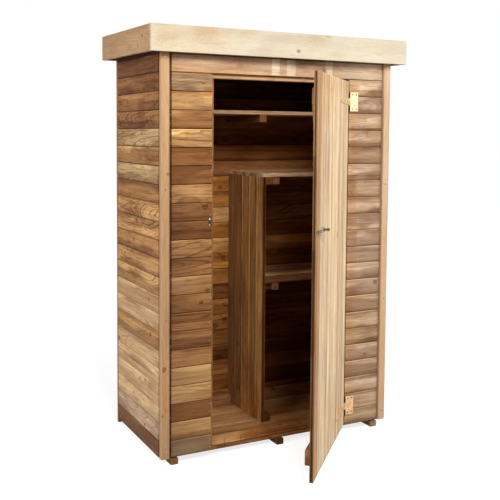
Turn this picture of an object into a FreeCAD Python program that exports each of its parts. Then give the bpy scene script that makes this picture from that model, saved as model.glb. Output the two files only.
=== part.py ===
import FreeCAD, Part
import math
import os
import re
import Sketcher

# Garden storage cabinet of treated pine, seen from the front: X to the right, Y to the
# back, Z up. The origin is on the ground, under the middle of the cabinet. The door is
# modelled part open, as it stands at rest.

# Driving sizes in millimetres and degrees, each with what it measures.
SIZES = {
    "body_wide": (1260, "width over the side boards"),
    "body_deep": (610, "depth over the front and back boards"),
    "bearer_side": (38, "side of the square battens used for posts, rails and cleats, and width of a bearer"),
    "bearer_high": (30, "height of the bearers under the floor"),
    "wall_low": (38, "lower edge of the walls above the ground"),
    "front_shift": (5, "doorway and bearers off the middle, to the right"),
    "bearer_spread": (565, "middle bearer to an outer bearer"),
    "bearer_short": (2, "bearer end behind the face of the boards"),
    "batten_ease": (1.5, "bevel on the long edges of a batten"),
    "board_pitch": (85, "cover width of one tongue and groove board"),
    "board_thick": (16, "thickness of a wall board"),
    "joint_gap": (0.8, "open gap between the shoulders of two boards"),
    "joint_bevel": (3, "bevel along each board edge on the outer face"),
    "tongue_long": (6, "length of the tongue"),
    "tongue_thick": (4, "thickness of the tongue"),
    "groove_play": (0.5, "play of the tongue in its groove"),
    "first_rip": (7, "strip ripped off the lowest board, groove included"),
    "side_rows": (23, "rows of boards in the side and back walls"),
    "front_rows": (21, "rows of boards beside the doorway"),
    "header_rows": (2, "rows of boards above the doorway"),
    "doorway_wide": (760, "clear width between the front boards"),
    "panel_wide": (201.5, "length of the boards beside the doorway"),
    "post_wide": (58, "width of a front post, behind the ends of the front boards"),
    "jamb_show": (15, "jamb batten that shows inside the doorway"),
    "lintel_show": (20, "lintel batten that shows below the header boards"),
    "trim_wide": (38, "width of a corner trim"),
    "trim_thick": (28, "thickness of a front corner trim"),
    "back_trim_thick": (20, "thickness of a back corner trim"),
    "back_trim_low": (16, "lower end of a back corner trim above the ground"),
    "trim_short": (6, "corner trim below the top of the boards"),
    "side_gap": (10, "open gap between a front trim and the side boards"),
    "plank_thick": (18, "thickness of floor and shelf boards"),
    "plank_ease": (1.2, "bevel on the long edges of floor and shelf boards"),
    "plank_gap": (2.5, "gap between floor or shelf boards"),
    "floor_count": (6, "boards in the floor"),
    "shelf_deep": (398, "depth of the shelves and the partition"),
    "shelf_count": (4, "boards in one shelf"),
    "top_shelf_z": (1656, "top face of the full width shelf"),
    "middle_shelf_z": (1339, "top face of the shelf on the partition"),
    "lower_shelf_z": (793, "top face of the lowest shelf"),
    "partition_thick": (18, "thickness of the partition boards"),
    "partition_rows": (5, "boards in the partition"),
    "cleat_inset": (3, "cleat set back from the shelf's front edge"),
    "deep_inset": (30, "setback of the lower cleat on the partition"),
    "batten_x": (60, "partition face to the batten under a shelf, from the middle"),
    "roof_over_side": (65, "fascia beyond the side boards"),
    "roof_over_front": (56, "fascia beyond the front boards"),
    "roof_over_back": (48, "fascia beyond the back boards"),
    "fascia_high": (120, "height of the front and side fascia boards"),
    "fascia_thick": (18, "thickness of a fascia board"),
    "fascia_rise": (10, "rise of the side fascia boards towards the back"),
    "fascia_play": (1, "play between the roof deck and the fascia"),
    "roof_fall": (2.3, "fall of the roof deck towards the back, in degrees"),
    "deck_rows": (8, "boards in the roof deck"),
    "felt_thick": (3, "thickness of the roofing felt"),
    "door_angle": (46, "how far the door stands open at rest, in degrees"),
    "door_play": (8, "gap at each side of the closed door"),
    "door_low": (42, "bottom edge of the door above the ground"),
    "door_high": (1806, "top edge of the door above the ground"),
    "door_front": (0.5, "door face ahead of the front boards"),
    "door_rows": (9, "boards in the door"),
    "ledge_high": (70, "width of the door's ledges and brace"),
    "ledge_thick": (28, "thickness of the door's ledges and brace"),
    "ledge_ease": (3, "bevel on the long edges of the door's ledges"),
    "ledge_inset": (30, "ledge end to the edge of the door"),
    "top_ledge_inset": (90, "upper ledge's end to the free edge of the door"),
    "hinge_in": (2, "hinge axis to the edge of the doorway"),
    "hinge_out": (5, "hinge axis ahead of the front boards"),
    "hinge_low_z": (140, "height of the lower hinge"),
    "hinge_high_z": (1705, "height of the upper hinge"),
    "plate_high": (95, "height of the hinge plate"),
    "plate_wide": (54, "hinge axis to the far edge of the hinge plate"),
    "plate_hole_near": (20.5, "hinge axis to the near screws of the hinge plate"),
    "plate_hole_far": (43, "hinge axis to the far screws of the hinge plate"),
    "plate_hole_rise": (36, "middle of the hinge plate to its screws, up and down"),
    "leaf_thick": (2.5, "thickness of the hinge leaves"),
    "leaf_root": (3.2, "hinge axis to the start of a leaf, inside its knuckle"),
    "knuckle_rad": (4.5, "radius of the hinge knuckles"),
    "pin_rad": (2.5, "radius of the hinge pin"),
    "pin_fit": (0.02, "radial play of the pin in the plate"),
    "pin_run": (0.08, "radial play of the pin in the strap"),
    "knuckle_gap": (1, "gap between knuckles"),
    "strap_knuckle": (36, "length of the strap's knuckle"),
    "strap_long": (225, "hinge axis to the tip of the strap"),
    "strap_root": (30, "width of the strap beside the knuckle"),
    "strap_tip": (18, "width of the strap at its tip"),
    "strap_tip_ease": (4.5, "bevel on the corners of the strap's tip"),
    "strap_hole_near": (54, "hinge axis to the first screw of the strap"),
    "strap_hole_middle": (124, "hinge axis to the second screw of the strap"),
    "strap_hole_far": (202, "hinge axis to the last screw of the strap"),
    "bolt_z": (1129, "height of the door bolt"),
    "bolt_rad": (5, "radius of the door bolt"),
    "bolt_long": (134, "length of the door bolt"),
    "bolt_back": (4, "bolt tip behind the door edge when drawn back"),
    "bolt_out": (9, "bolt axis ahead of the door face"),
    "bolt_play": (0.4, "radial play of the bolt in its guides"),
    "case_in": (58, "bolt's base plate to the free edge of the door"),
    "case_long": (74, "length of the bolt's base plate"),
    "case_high": (38, "height of the bolt's base plate"),
    "case_hole_in": (22, "end of the bolt's base plate to its screws"),
    "case_hole_rise": (13, "bolt's axis to the screws of its base plate, up and down"),
    "sheet_thick": (2, "thickness of the bolt's base plate and keeper plate"),
    "guide_long": (9, "length of a bolt guide"),
    "guide_in": (4, "guide to the end of the base plate"),
    "guide_high": (20, "height of a bolt guide"),
    "guide_rise": (15, "rise of a bolt guide above the door"),
    "knob_rad": (4.5, "radius of the knob's stem"),
    "knob_gap": (1, "knob's stem to the far guide"),
    "knob_long": (22, "length of the knob from the bolt's axis"),
    "knob_end_rad": (7, "radius of the knob's round end"),
    "keeper_wide": (14, "width of the keeper plate"),
    "keeper_high": (36, "height of the keeper plate"),
    "keeper_gap": (4, "keeper plate to the edge of the doorway"),
    "keeper_hole_rise": (13, "bolt's axis to the screws of the keeper, up and down"),
    "keeper_loop_high": (17, "height of the keeper's loop"),
    "keeper_loop_rise": (16.5, "rise of the keeper's loop above the front boards"),
    "keeper_play": (1.2, "radial play of the bolt in the keeper"),
    "screw_head": (4.2, "radius of a fitting screw's head"),
    "screw_rise": (1.6, "rise of a fitting screw's head"),
    "screw_shank": (2, "radius of a screw's shank"),
    "screw_play": (0.25, "radial play of a screw in its hole"),
    "screw_long": (18, "length of a fitting screw below its head"),
    "trim_screw_head": (4.5, "radius of a trim screw's head"),
    "trim_screw_long": (45, "length of a trim screw"),
    "trim_screw_drop": (17, "highest trim screw below the fascia"),
    "trim_screw_count": (4, "screws up the height of a corner trim"),
    "cut_over": (1, "how far a cutting outline reaches past what it cuts"),
}

doc = FreeCAD.newDocument("garden_cabinet")
sheet = doc.addObject("Spreadsheet::Sheet", "Sizes")
for row, (alias, (number, note)) in enumerate(SIZES.items(), start=1):
    sheet.set("A%d" % row, note)
    sheet.set("B%d" % row, str(number))
    sheet.setAlias("B%d" % row, alias)

# Places that follow from the driving sizes, as formulas on the sheet's names. A name in
# capitals stands for its formula in later ones.
PLACES = {
    "LEFT": "-body_wide / 2",
    "RIGHT": "body_wide / 2",
    "FRONT": "-body_deep / 2",
    "BACK": "body_deep / 2",
    "INNER_LEFT": "-body_wide / 2 + board_thick",
    "INNER_RIGHT": "body_wide / 2 - board_thick",
    "INNER_FRONT": "-body_deep / 2 + board_thick",
    "INNER_BACK": "body_deep / 2 - board_thick",
    "FLOOR": "bearer_high + plank_thick",
    "ROW_ZERO": "wall_low - first_rip",
    "HEADER_LOW": "ROW_ZERO + front_rows * board_pitch",
    "FASCIA_LOW": "ROW_ZERO + (side_rows - 1) * board_pitch",
    "DECK_FRONT": "ROW_ZERO + side_rows * board_pitch",
    "WAY_LEFT": "front_shift - doorway_wide / 2",
    "WAY_RIGHT": "front_shift + doorway_wide / 2",
    "LINTEL_LOW": "HEADER_LOW - lintel_show",
    "PANEL_LEFT": "WAY_LEFT - panel_wide",
    "PANEL_RIGHT": "WAY_RIGHT + panel_wide",
    "SHELF_FRONT": "INNER_BACK - shelf_deep",
    "HINGE_X": "WAY_RIGHT - hinge_in",
    "HINGE_Y": "FRONT - hinge_out",
    "DOOR_LEFT": "WAY_LEFT + door_play",
    "DOOR_RIGHT": "WAY_RIGHT - door_play",
    "DOOR_FACE": "FRONT - door_front",
    "DOOR_BACK": "FRONT - door_front + board_thick",
    "BOLT_Y": "DOOR_FACE - bolt_out",
}


def spell(text):
    """Put the formulas of PLACES in place of their names."""
    while True:
        longer = re.sub(r"[A-Z_]{4,}", lambda word: "(" + PLACES[word.group()] + ")", text)
        if longer == text:
            return text
        text = longer


def bind(text):
    """Turn a formula on plain names into an expression that reads the sheet."""
    return re.sub(r"[a-z_]+", lambda word: "Sizes." + word.group() if word.group() in SIZES else word.group(),
                  spell(text))


def deck_under(at_y):
    """Formula for the underside of the sloping roof deck at a place along Y."""
    return "(DECK_FRONT - (%s - FRONT) * tan(roof_fall * 1deg))" % at_y


def place(piece, x, y, z):
    piece.setExpression(".Placement.Base.x", bind(x))
    piece.setExpression(".Placement.Base.y", bind(y))
    piece.setExpression(".Placement.Base.z", bind(z))


def turn(piece, axis, angle):
    piece.Placement.Rotation = FreeCAD.Rotation(FreeCAD.Vector(*axis), 1)
    piece.setExpression(".Placement.Rotation.Angle", bind(angle))


def hang_on_door(piece, x="HINGE_X", y="HINGE_Y", z="0"):
    """Swing a piece, given where it lies with the door closed, to the open rest pose."""
    out_x = "((%s) - HINGE_X)" % x
    out_y = "((%s) - HINGE_Y)" % y
    angle = "door_angle * 1deg"
    place(piece,
          "HINGE_X + %s * cos(%s) - %s * sin(%s)" % (out_x, angle, out_y, angle),
          "HINGE_Y + %s * sin(%s) + %s * cos(%s)" % (out_x, angle, out_y, angle),
          z)
    turn(piece, (0, 0, 1), angle)


def new_body(label):
    body = doc.addObject("PartDesign::Body", label)
    body.Label = label
    return body


def new_sketch(body, plane, lift="0"):
    sketch = body.newObject("Sketcher::SketchObject", body.Name + "_sketch")
    support = [flat for flat in body.Origin.OriginFeatures if flat.Role == plane][0]
    sketch.AttachmentSupport = [(support, "")]
    sketch.MapMode = "FlatFace"
    sketch.setExpression(".AttachmentOffset.Base.z", bind(lift))
    return sketch


def pin_point(sketch, line, end, x, y):
    """Hold one point of a sketch at a place given by two formulas."""
    for kind, axis, formula in (("DistanceX", -2, x), ("DistanceY", -1, y)):
        if formula == "0":
            sketch.addConstraint(Sketcher.Constraint("PointOnObject", line, end, axis))
        else:
            index = sketch.addConstraint(Sketcher.Constraint(kind, -1, 1, line, end, 1.0))
            sketch.setExpression("Constraints[%d]" % index, bind(formula))


def draw_outline(sketch, corners):
    """A closed outline of straight lines, each corner given by two formulas."""
    first = sketch.GeometryCount
    count = len(corners)
    for index in range(count):
        start = math.radians(360 * index / count)
        stop = math.radians(360 * (index + 1) / count)
        sketch.addGeometry(Part.LineSegment(
            FreeCAD.Vector(math.cos(start), math.sin(start), 0),
            FreeCAD.Vector(math.cos(stop), math.sin(stop), 0)), False)
    for index in range(count):
        sketch.addConstraint(Sketcher.Constraint(
            "Coincident", first + index, 2, first + (index + 1) % count, 1))
    for index, (x, y) in enumerate(corners):
        pin_point(sketch, first + index, 1, x, y)


def draw_circle(sketch, x, y, radius):
    index = sketch.addGeometry(Part.Circle(FreeCAD.Vector(1, 1, 0), FreeCAD.Vector(0, 0, 1), 1), False)
    pin_point(sketch, index, 3, x, y)
    size = sketch.addConstraint(Sketcher.Constraint("Radius", index, 1.0))
    sketch.setExpression("Constraints[%d]" % size, bind(radius))


def pad(body, sketch, length, backwards=False):
    feature = body.newObject("PartDesign::Pad", body.Name + "_pad")
    feature.Profile = sketch
    feature.Reversed = backwards
    feature.setExpression("Length", bind(length))
    body.Tip = feature
    return feature


def repeat(body, feature, sketch, axis, count, pitch):
    """Set copies of a feature side by side along an axis of its sketch."""
    row = body.newObject("PartDesign::LinearPattern", body.Name + "_row")
    row.Originals = [feature]
    row.Direction = (sketch, [axis])
    row.setExpression("Length", bind("(%s) * (%s - 1)" % (pitch, count)))
    row.setExpression("Occurrences", bind(count))
    body.Tip = row
    return row


def cut_away(body, plane, corners):
    """Cut an outline right through a body, and make sure that it took something off."""
    doc.recompute()
    before = body.Shape.Volume
    sketch = new_sketch(body, plane)
    draw_outline(sketch, corners)
    pocket = body.newObject("PartDesign::Pocket", body.Name + "_cut")
    pocket.Profile = sketch
    pocket.Type = "ThroughAll"
    pocket.Midplane = True
    body.Tip = pocket
    doc.recompute()
    if not body.Shape.Volume < before - 1:
        raise RuntimeError(body.Label + ": the cut took nothing off")


def rectangle(x0, y0, x1, y1):
    return [(x0, y0), (x1, y0), (x1, y1), (x0, y1)]


def eased_section(wide, high, ease):
    """Corners of a rectangle from the origin whose four corners are bevelled."""
    return [(ease, "0"), ("%s - %s" % (wide, ease), "0"), (wide, ease), (wide, "%s - %s" % (high, ease)),
            ("%s - %s" % (wide, ease), high), (ease, high), ("0", "%s - %s" % (high, ease)), ("0", ease)]


def board_section(thick):
    """Corners of one tongue and groove board, as (depth from the outer face, height)."""
    shoulder = "board_pitch - joint_gap"
    tongue_near = "(%s - tongue_thick) / 2" % thick
    tongue_far = "(%s + tongue_thick) / 2" % thick
    groove_near = "(%s - tongue_thick) / 2 - groove_play" % thick
    groove_far = "(%s + tongue_thick) / 2 + groove_play" % thick
    groove_deep = "tongue_long - joint_gap + groove_play"
    return [("0", "joint_bevel"), ("joint_bevel", "0"),
            (groove_near, "0"), (groove_near, groove_deep), (groove_far, groove_deep), (groove_far, "0"),
            (thick, "0"), (thick, shoulder),
            (tongue_far, shoulder), (tongue_far, shoulder + " + tongue_long"),
            (tongue_near, shoulder + " + tongue_long"), (tongue_near, shoulder),
            ("joint_bevel", shoulder), ("0", shoulder + " - joint_bevel")]


def level_boards(label, count, length):
    """Boards that lie along X, one above the other, with the bevelled face towards -Y."""
    body = new_body(label)
    sketch = new_sketch(body, "YZ_Plane")
    draw_outline(sketch, board_section("board_thick"))
    first = pad(body, sketch, length)
    repeat(body, first, sketch, "V_Axis", count, "board_pitch")
    return body


def upright_boards(label, count, length, thick, start, depth, low):
    """Boards that stand along Z, side by side along X, with the bevelled face towards -Y."""
    body = new_body(label)
    sketch = new_sketch(body, "XY_Plane", low)
    draw_outline(sketch, [("%s + %s" % (start, across), "%s + %s" % (depth, into))
                          for into, across in board_section(thick)])
    first = pad(body, sketch, length)
    repeat(body, first, sketch, "H_Axis", count, "board_pitch")
    return body


def timber(label, grain, low, high, ease="batten_ease", count=None, pitch=None):
    """A batten or plank between two corners, with bevelled edges along its grain.

    With a count it is a row of planks along Y, and the corners bound the first one.
    """
    body = new_body(label)
    wide, deep, tall = ["(%s) - (%s)" % (high[axis], low[axis]) for axis in range(3)]
    plane, section, length = {
        "X": ("YZ_Plane", (deep, tall), wide),
        "Y": ("XZ_Plane", (wide, tall), deep),
        "Z": ("XY_Plane", (wide, deep), tall),
    }[grain]
    sketch = new_sketch(body, plane)
    draw_outline(sketch, eased_section(section[0], section[1], ease))
    first = pad(body, sketch, length, backwards=(grain == "Y"))
    if count:
        repeat(body, first, sketch, "H_Axis", count, pitch)
    place(body, *low)
    return body


parts = []


def keep(piece):
    parts.append(piece)
    return piece


# Bearers on the ground, from front to back under the floor.
for side, middle in (("left", "front_shift - bearer_spread"), ("center", "front_shift"),
                     ("right", "front_shift + bearer_spread")):
    keep(timber("bearer_" + side, "Y",
                (middle + " - bearer_side / 2", "FRONT + bearer_short", "0"),
                (middle + " + bearer_side / 2", "BACK - bearer_short", "bearer_high")))

# Floor boards, laid from side to side, and the threshold strip on them between the jambs.
floor_pitch = "(INNER_BACK - INNER_FRONT + plank_gap) / floor_count"
keep(timber("floor_boards", "X",
            ("INNER_LEFT", "INNER_FRONT", "bearer_high"),
            ("INNER_RIGHT", "INNER_FRONT + %s - plank_gap" % floor_pitch, "FLOOR"),
            "plank_ease", "floor_count", floor_pitch))
keep(timber("threshold_strip", "X",
            ("WAY_LEFT + jamb_show", "INNER_FRONT", "FLOOR"),
            ("WAY_RIGHT - jamb_show", "INNER_FRONT + bearer_side", "FLOOR + bearer_side")))

# Corner posts on the floor, and the rails that lie on them under the roof.
front_rail_low = "DECK_FRONT - fascia_play - bearer_side"
back_rail_top = deck_under("BACK") + " - fascia_play"
for side, low_x, high_x in (("left", "INNER_LEFT", "INNER_LEFT + post_wide"),
                            ("right", "INNER_RIGHT - post_wide", "INNER_RIGHT")):
    keep(timber("post_front_" + side, "Z",
                (low_x, "INNER_FRONT", "FLOOR"),
                (high_x, "INNER_FRONT + bearer_side", front_rail_low)))
for side, low_x, high_x in (("left", "INNER_LEFT", "INNER_LEFT + bearer_side"),
                            ("right", "INNER_RIGHT - bearer_side", "INNER_RIGHT")):
    keep(timber("post_back_" + side, "Z",
                (low_x, "INNER_BACK - bearer_side", "FLOOR"),
                (high_x, "INNER_BACK", back_rail_top + " - bearer_side")))
keep(timber("rail_front", "X",
            ("INNER_LEFT", "INNER_FRONT", front_rail_low),
            ("INNER_RIGHT", "INNER_FRONT + bearer_side",
             deck_under("INNER_FRONT + bearer_side") + " - fascia_play")))
keep(timber("rail_back", "X",
            ("INNER_LEFT", "INNER_BACK - bearer_side", back_rail_top + " - bearer_side"),
            ("INNER_RIGHT", "INNER_BACK", back_rail_top)))

# Jamb battens and lintel batten around the doorway, which stop the closed door.
keep(timber("jamb_left", "Z",
            ("WAY_LEFT + jamb_show - bearer_side", "INNER_FRONT", "FLOOR"),
            ("WAY_LEFT + jamb_show", "INNER_FRONT + bearer_side", "LINTEL_LOW")))
keep(timber("jamb_right", "Z",
            ("WAY_RIGHT - jamb_show", "INNER_FRONT", "FLOOR"),
            ("WAY_RIGHT - jamb_show + bearer_side", "INNER_FRONT + bearer_side", "LINTEL_LOW")))
keep(timber("lintel", "X",
            ("WAY_LEFT + jamb_show - bearer_side", "INNER_FRONT", "LINTEL_LOW"),
            ("WAY_RIGHT - jamb_show + bearer_side", "INNER_FRONT + bearer_side", "LINTEL_LOW + bearer_side")))

# Side walls: rows of boards, the lowest ripped, the highest cut to the fall of the roof.
side_start = "INNER_FRONT + side_gap"
side_long = "(BACK - (%s))" % side_start
side_top_near = deck_under(side_start) + " - fascia_play - ROW_ZERO"
side_top_far = deck_under("BACK") + " - fascia_play - ROW_ZERO"
above_all = "(side_rows + 1) * board_pitch"
left_wall = level_boards("left_wall_boards", "side_rows", side_long)
cut_away(left_wall, "XZ_Plane", rectangle("-cut_over", "-cut_over", side_long + " + cut_over", "first_rip"))
cut_away(left_wall, "XZ_Plane", [("-cut_over", side_top_far), (side_long + " + cut_over", side_top_near),
                                 (side_long + " + cut_over", above_all), ("-cut_over", above_all)])
place(left_wall, "LEFT", "BACK", "ROW_ZERO")
turn(left_wall, (0, 0, 1), "-90deg")
keep(left_wall)
right_wall = level_boards("right_wall_boards", "side_rows", side_long)
cut_away(right_wall, "XZ_Plane", rectangle("-cut_over", "-cut_over", side_long + " + cut_over", "first_rip"))
cut_away(right_wall, "XZ_Plane", [("-cut_over", side_top_near), (side_long + " + cut_over", side_top_far),
                                  (side_long + " + cut_over", above_all), ("-cut_over", above_all)])
place(right_wall, "RIGHT", side_start, "ROW_ZERO")
turn(right_wall, (0, 0, 1), "90deg")
keep(right_wall)

# Back wall between the side walls, with its bevelled face outwards.
back_long = "(INNER_RIGHT - INNER_LEFT)"
back_wall = level_boards("back_wall_boards", "side_rows", back_long)
cut_away(back_wall, "XZ_Plane", rectangle("-cut_over", "-cut_over", back_long + " + cut_over", "first_rip"))
cut_away(back_wall, "XZ_Plane", rectangle("-cut_over", deck_under("BACK") + " - fascia_play - ROW_ZERO",
                                          back_long + " + cut_over", above_all))
place(back_wall, "INNER_RIGHT", "BACK", "ROW_ZERO")
turn(back_wall, (0, 0, 1), "180deg")
keep(back_wall)

# Front boards beside and above the doorway.
for side, start in (("left", "PANEL_LEFT"), ("right", "WAY_RIGHT")):
    panel = level_boards("front_%s_boards" % side, "front_rows", "panel_wide")
    cut_away(panel, "XZ_Plane", rectangle("-cut_over", "-cut_over", "panel_wide + cut_over", "first_rip"))
    place(panel, start, "FRONT", "ROW_ZERO")
    keep(panel)
header_long = "(PANEL_RIGHT - PANEL_LEFT)"
header = level_boards("header_boards", "header_rows", header_long)
cut_away(header, "XZ_Plane", rectangle("-cut_over", "header_rows * board_pitch - fascia_play - joint_gap",
                                       header_long + " + cut_over", "(header_rows + 1) * board_pitch"))
place(header, "PANEL_LEFT", "FRONT", "HEADER_LOW")
keep(header)


def pair(label, left, right):
    """Two pieces of timber that share one node, one on each side."""
    both = doc.addObject("Part::Compound", label)
    both.Links = [timber(label + "_left", *left), timber(label + "_right", *right)]
    return both


# Corner trims: on the front posts, proud of the boards, and over the back boards, where
# they reach lower.
for side, low_x in (("left", "LEFT"), ("right", "RIGHT - trim_wide")):
    keep(timber("corner_trim_" + side, "Z",
                (low_x, "INNER_FRONT - trim_thick", "wall_low"),
                (low_x + " + trim_wide", "INNER_FRONT", "DECK_FRONT - trim_short")))
back_trim_top = deck_under("BACK") + " - trim_short"
keep(pair("back_corner_trims",
          ("Z", ("LEFT", "BACK", "back_trim_low"),
           ("LEFT + trim_wide", "BACK + back_trim_thick", back_trim_top)),
          ("Z", ("RIGHT - trim_wide", "BACK", "back_trim_low"),
           ("RIGHT", "BACK + back_trim_thick", back_trim_top))))

# Batten along the foot of the back wall, in two lengths beside the partition.
foot_low = "(INNER_BACK - bearer_side)"
foot_high = "FLOOR + bearer_side"
keep(pair("back_foot_battens",
          ("X", ("INNER_LEFT + bearer_side", foot_low, "FLOOR"), ("0", "INNER_BACK", foot_high)),
          ("X", ("partition_thick + bearer_side", foot_low, "FLOOR"),
           ("INNER_RIGHT - bearer_side", "INNER_BACK", foot_high))))

# Partition of upright boards, its bevelled face to the left, and the cleat at its foot.
partition_high = "(middle_shelf_z - plank_thick - FLOOR)"
partition = upright_boards("partition_boards", "partition_rows", partition_high, "partition_thick",
                           "0", "0", "FLOOR")
cut_away(partition, "XY_Plane", rectangle("shelf_deep", "-cut_over",
                                          "partition_rows * board_pitch + tongue_long + cut_over",
                                          "partition_thick + cut_over"))
place(partition, "0", "INNER_BACK", "0")
turn(partition, (0, 0, 1), "-90deg")
keep(partition)
keep(timber("partition_foot_cleat", "Y",
            ("partition_thick", "SHELF_FRONT + cleat_inset", "FLOOR"),
            ("partition_thick + bearer_side", "INNER_BACK", "FLOOR + bearer_side")))


def shelf(label, low_x, top, notched):
    """Shelf boards along X, notched round the back posts where they meet."""
    pitch = "(shelf_deep + plank_gap) / shelf_count"
    body = timber(label, "X",
                  (low_x, "SHELF_FRONT", top + " - plank_thick"),
                  ("INNER_RIGHT", "SHELF_FRONT + %s - plank_gap" % pitch, top),
                  "plank_ease", "shelf_count", pitch)
    post_near = "shelf_deep - bearer_side - groove_play"
    long = "(INNER_RIGHT - (%s))" % low_x
    beyond = "shelf_deep + cut_over"
    if "left" in notched:
        cut_away(body, "XY_Plane", rectangle("-cut_over", post_near, "bearer_side + groove_play", beyond))
    if "right" in notched:
        cut_away(body, "XY_Plane", rectangle(long + " - bearer_side - groove_play", post_near,
                                             long + " + cut_over", beyond))
    return body


def cleat(label, low_x, top, inset="cleat_inset", stop="INNER_BACK"):
    """A batten from front to back, its top face under a shelf."""
    return timber(label, "Y",
                  (low_x, "SHELF_FRONT + " + inset, top + " - plank_thick - bearer_side"),
                  (low_x + " + bearer_side", stop, top + " - plank_thick"))


before_post = "INNER_BACK - bearer_side"
right_cleat_x = "INNER_RIGHT - bearer_side"
keep(shelf("top_shelf_boards", "INNER_LEFT", "top_shelf_z", ("left", "right")))
keep(cleat("top_shelf_batten", "-bearer_side / 2", "top_shelf_z"))
keep(cleat("top_shelf_cleat_left", "INNER_LEFT", "top_shelf_z", stop=before_post))
keep(cleat("top_shelf_cleat_right", right_cleat_x, "top_shelf_z", stop=before_post))
keep(shelf("middle_shelf_boards", "0", "middle_shelf_z", ("right",)))
keep(cleat("middle_shelf_cleat_left", "partition_thick", "middle_shelf_z"))
keep(cleat("middle_shelf_batten", "batten_x", "middle_shelf_z"))
keep(cleat("middle_shelf_cleat_right", right_cleat_x, "middle_shelf_z", stop=before_post))
keep(shelf("lower_shelf_boards", "partition_thick", "lower_shelf_z", ("right",)))
keep(cleat("lower_shelf_cleat_left", "partition_thick", "lower_shelf_z", inset="deep_inset"))
keep(cleat("lower_shelf_batten", "batten_x", "lower_shelf_z"))
keep(cleat("lower_shelf_cleat_right", right_cleat_x, "lower_shelf_z", stop=before_post))

# Roof deck of boards from side to side, bevelled face down, falling to the back from
# the front fascia.
roof_left = "(LEFT - roof_over_side)"
roof_right = "(RIGHT + roof_over_side)"
roof_front = "(FRONT - roof_over_front)"
roof_back = "(BACK + roof_over_back)"
deck_half = "(body_wide / 2 + roof_over_side - fascia_thick - fascia_play)"
deck_start = "(%s + fascia_thick + fascia_play)" % roof_front
deck_long = "(deck_rows * board_pitch - joint_gap)"
deck_back = "(%s + %s * cos(roof_fall * 1deg))" % (deck_start, deck_long)
deck = level_boards("roof_deck_boards", "deck_rows", deck_half + " * 2")
cut_away(deck, "XZ_Plane", rectangle("-cut_over", deck_long, deck_half + " * 2 + cut_over",
                                     deck_long + " + board_pitch"))
place(deck, "-" + deck_half, deck_back, deck_under(deck_back))
turn(deck, (1, 0, 0), "90deg - roof_fall * 1deg")
keep(deck)

# Roofing felt laid on the deck, and on over the low fascia at the back.
felt = doc.addObject("Part::Box", "roof_felt")
felt.setExpression("Length", bind(deck_half + " * 2"))
felt.setExpression("Width", bind("felt_thick"))
felt.setExpression("Height", bind("(%s - %s) / cos(roof_fall * 1deg)" % (roof_back, deck_start)))
place(felt, "-" + deck_half,
      roof_back + " + board_thick * sin(roof_fall * 1deg)",
      deck_under(roof_back) + " + board_thick * cos(roof_fall * 1deg)")
turn(felt, (1, 0, 0), "90deg - roof_fall * 1deg")
keep(felt)

# Fascia boards. The front one runs past the ends of the side ones, and the side ones
# rise a little to the back. The back one stays below the deck, so that water runs off.
fascia_top = "FASCIA_LOW + fascia_high"
keep(timber("fascia_front", "X",
            (roof_left, roof_front, "FASCIA_LOW"),
            (roof_right, roof_front + " + fascia_thick", fascia_top), "plank_ease"))
for side, low_x in (("left", roof_left), ("right", roof_right + " - fascia_thick")):
    fascia = timber("fascia_" + side, "Y",
                    (low_x, roof_front + " + fascia_thick + fascia_play * 2", "FASCIA_LOW"),
                    (low_x + " + fascia_thick", roof_back, fascia_top), "plank_ease")
    turn(fascia, (1, 0, 0), "atan(fascia_rise / (%s - %s))" % (roof_back, roof_front))
    keep(fascia)
keep(timber("fascia_back", "X",
            (roof_left + " + fascia_thick", roof_back + " - fascia_thick", "FASCIA_LOW + fascia_rise"),
            (roof_right + " - fascia_thick", roof_back, deck_under(roof_back) + " - fascia_play"),
            "plank_ease"))

# Door of upright boards. Its sketches are measured from the hinge axis, door closed.
door_high = "(door_high - door_low)"
door_start = "(DOOR_LEFT - HINGE_X)"
door_face = "(DOOR_FACE - HINGE_Y)"
door = upright_boards("door_boards", "door_rows", door_high, "board_thick", door_start, door_face, "door_low")
cut_away(door, "XY_Plane", rectangle("(DOOR_RIGHT - HINGE_X)", door_face + " - cut_over",
                                     door_start + " + door_rows * board_pitch + tongue_long + cut_over",
                                     door_face + " + board_thick + cut_over"))
hang_on_door(door)
keep(door)

# Two ledges and a brace on the inner face of the door. The brace rises from the hinge
# side at the foot to the free side at the top.
ledge_left = {"top": "(DOOR_LEFT + top_ledge_inset)", "bottom": "(DOOR_LEFT + ledge_inset)"}
ledge_right = "(DOOR_RIGHT - ledge_inset)"
for side, middle in (("top", "hinge_high_z"), ("bottom", "hinge_low_z")):
    low = middle + " - ledge_high / 2"
    ledge = timber("door_ledge_" + side, "X",
                   (ledge_left[side], "DOOR_BACK", low),
                   (ledge_right, "DOOR_BACK + ledge_thick", low + " + ledge_high"), "ledge_ease")
    hang_on_door(ledge, ledge_left[side], "DOOR_BACK", low)
    keep(ledge)
brace = new_body("door_brace")
brace_sketch = new_sketch(brace, "XZ_Plane", "-(DOOR_BACK - HINGE_Y)")
brace_low = "hinge_low_z + ledge_high / 2"
brace_high = "hinge_high_z - ledge_high / 2"
draw_outline(brace_sketch, [("%s - HINGE_X" % ledge_left["top"], brace_high),
                            ("%s - HINGE_X + ledge_high" % ledge_left["top"], brace_high),
                            ("%s - HINGE_X" % ledge_right, brace_low),
                            ("%s - HINGE_X - ledge_high" % ledge_right, brace_low)])
pad(brace, brace_sketch, "ledge_thick", backwards=True)
hang_on_door(brace)
keep(brace)


def cylinder(label, radius, length):
    body = doc.addObject("Part::Cylinder", label)
    body.setExpression("Radius", bind(radius))
    body.setExpression("Height", bind(length))
    return body


def join(label, pieces):
    whole = doc.addObject("Part::MultiFuse", label)
    whole.Shapes = pieces
    return whole


def bore(label, solid, hole):
    rest = doc.addObject("Part::Cut", label)
    rest.Base = solid
    rest.Tool = hole
    return rest


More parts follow.
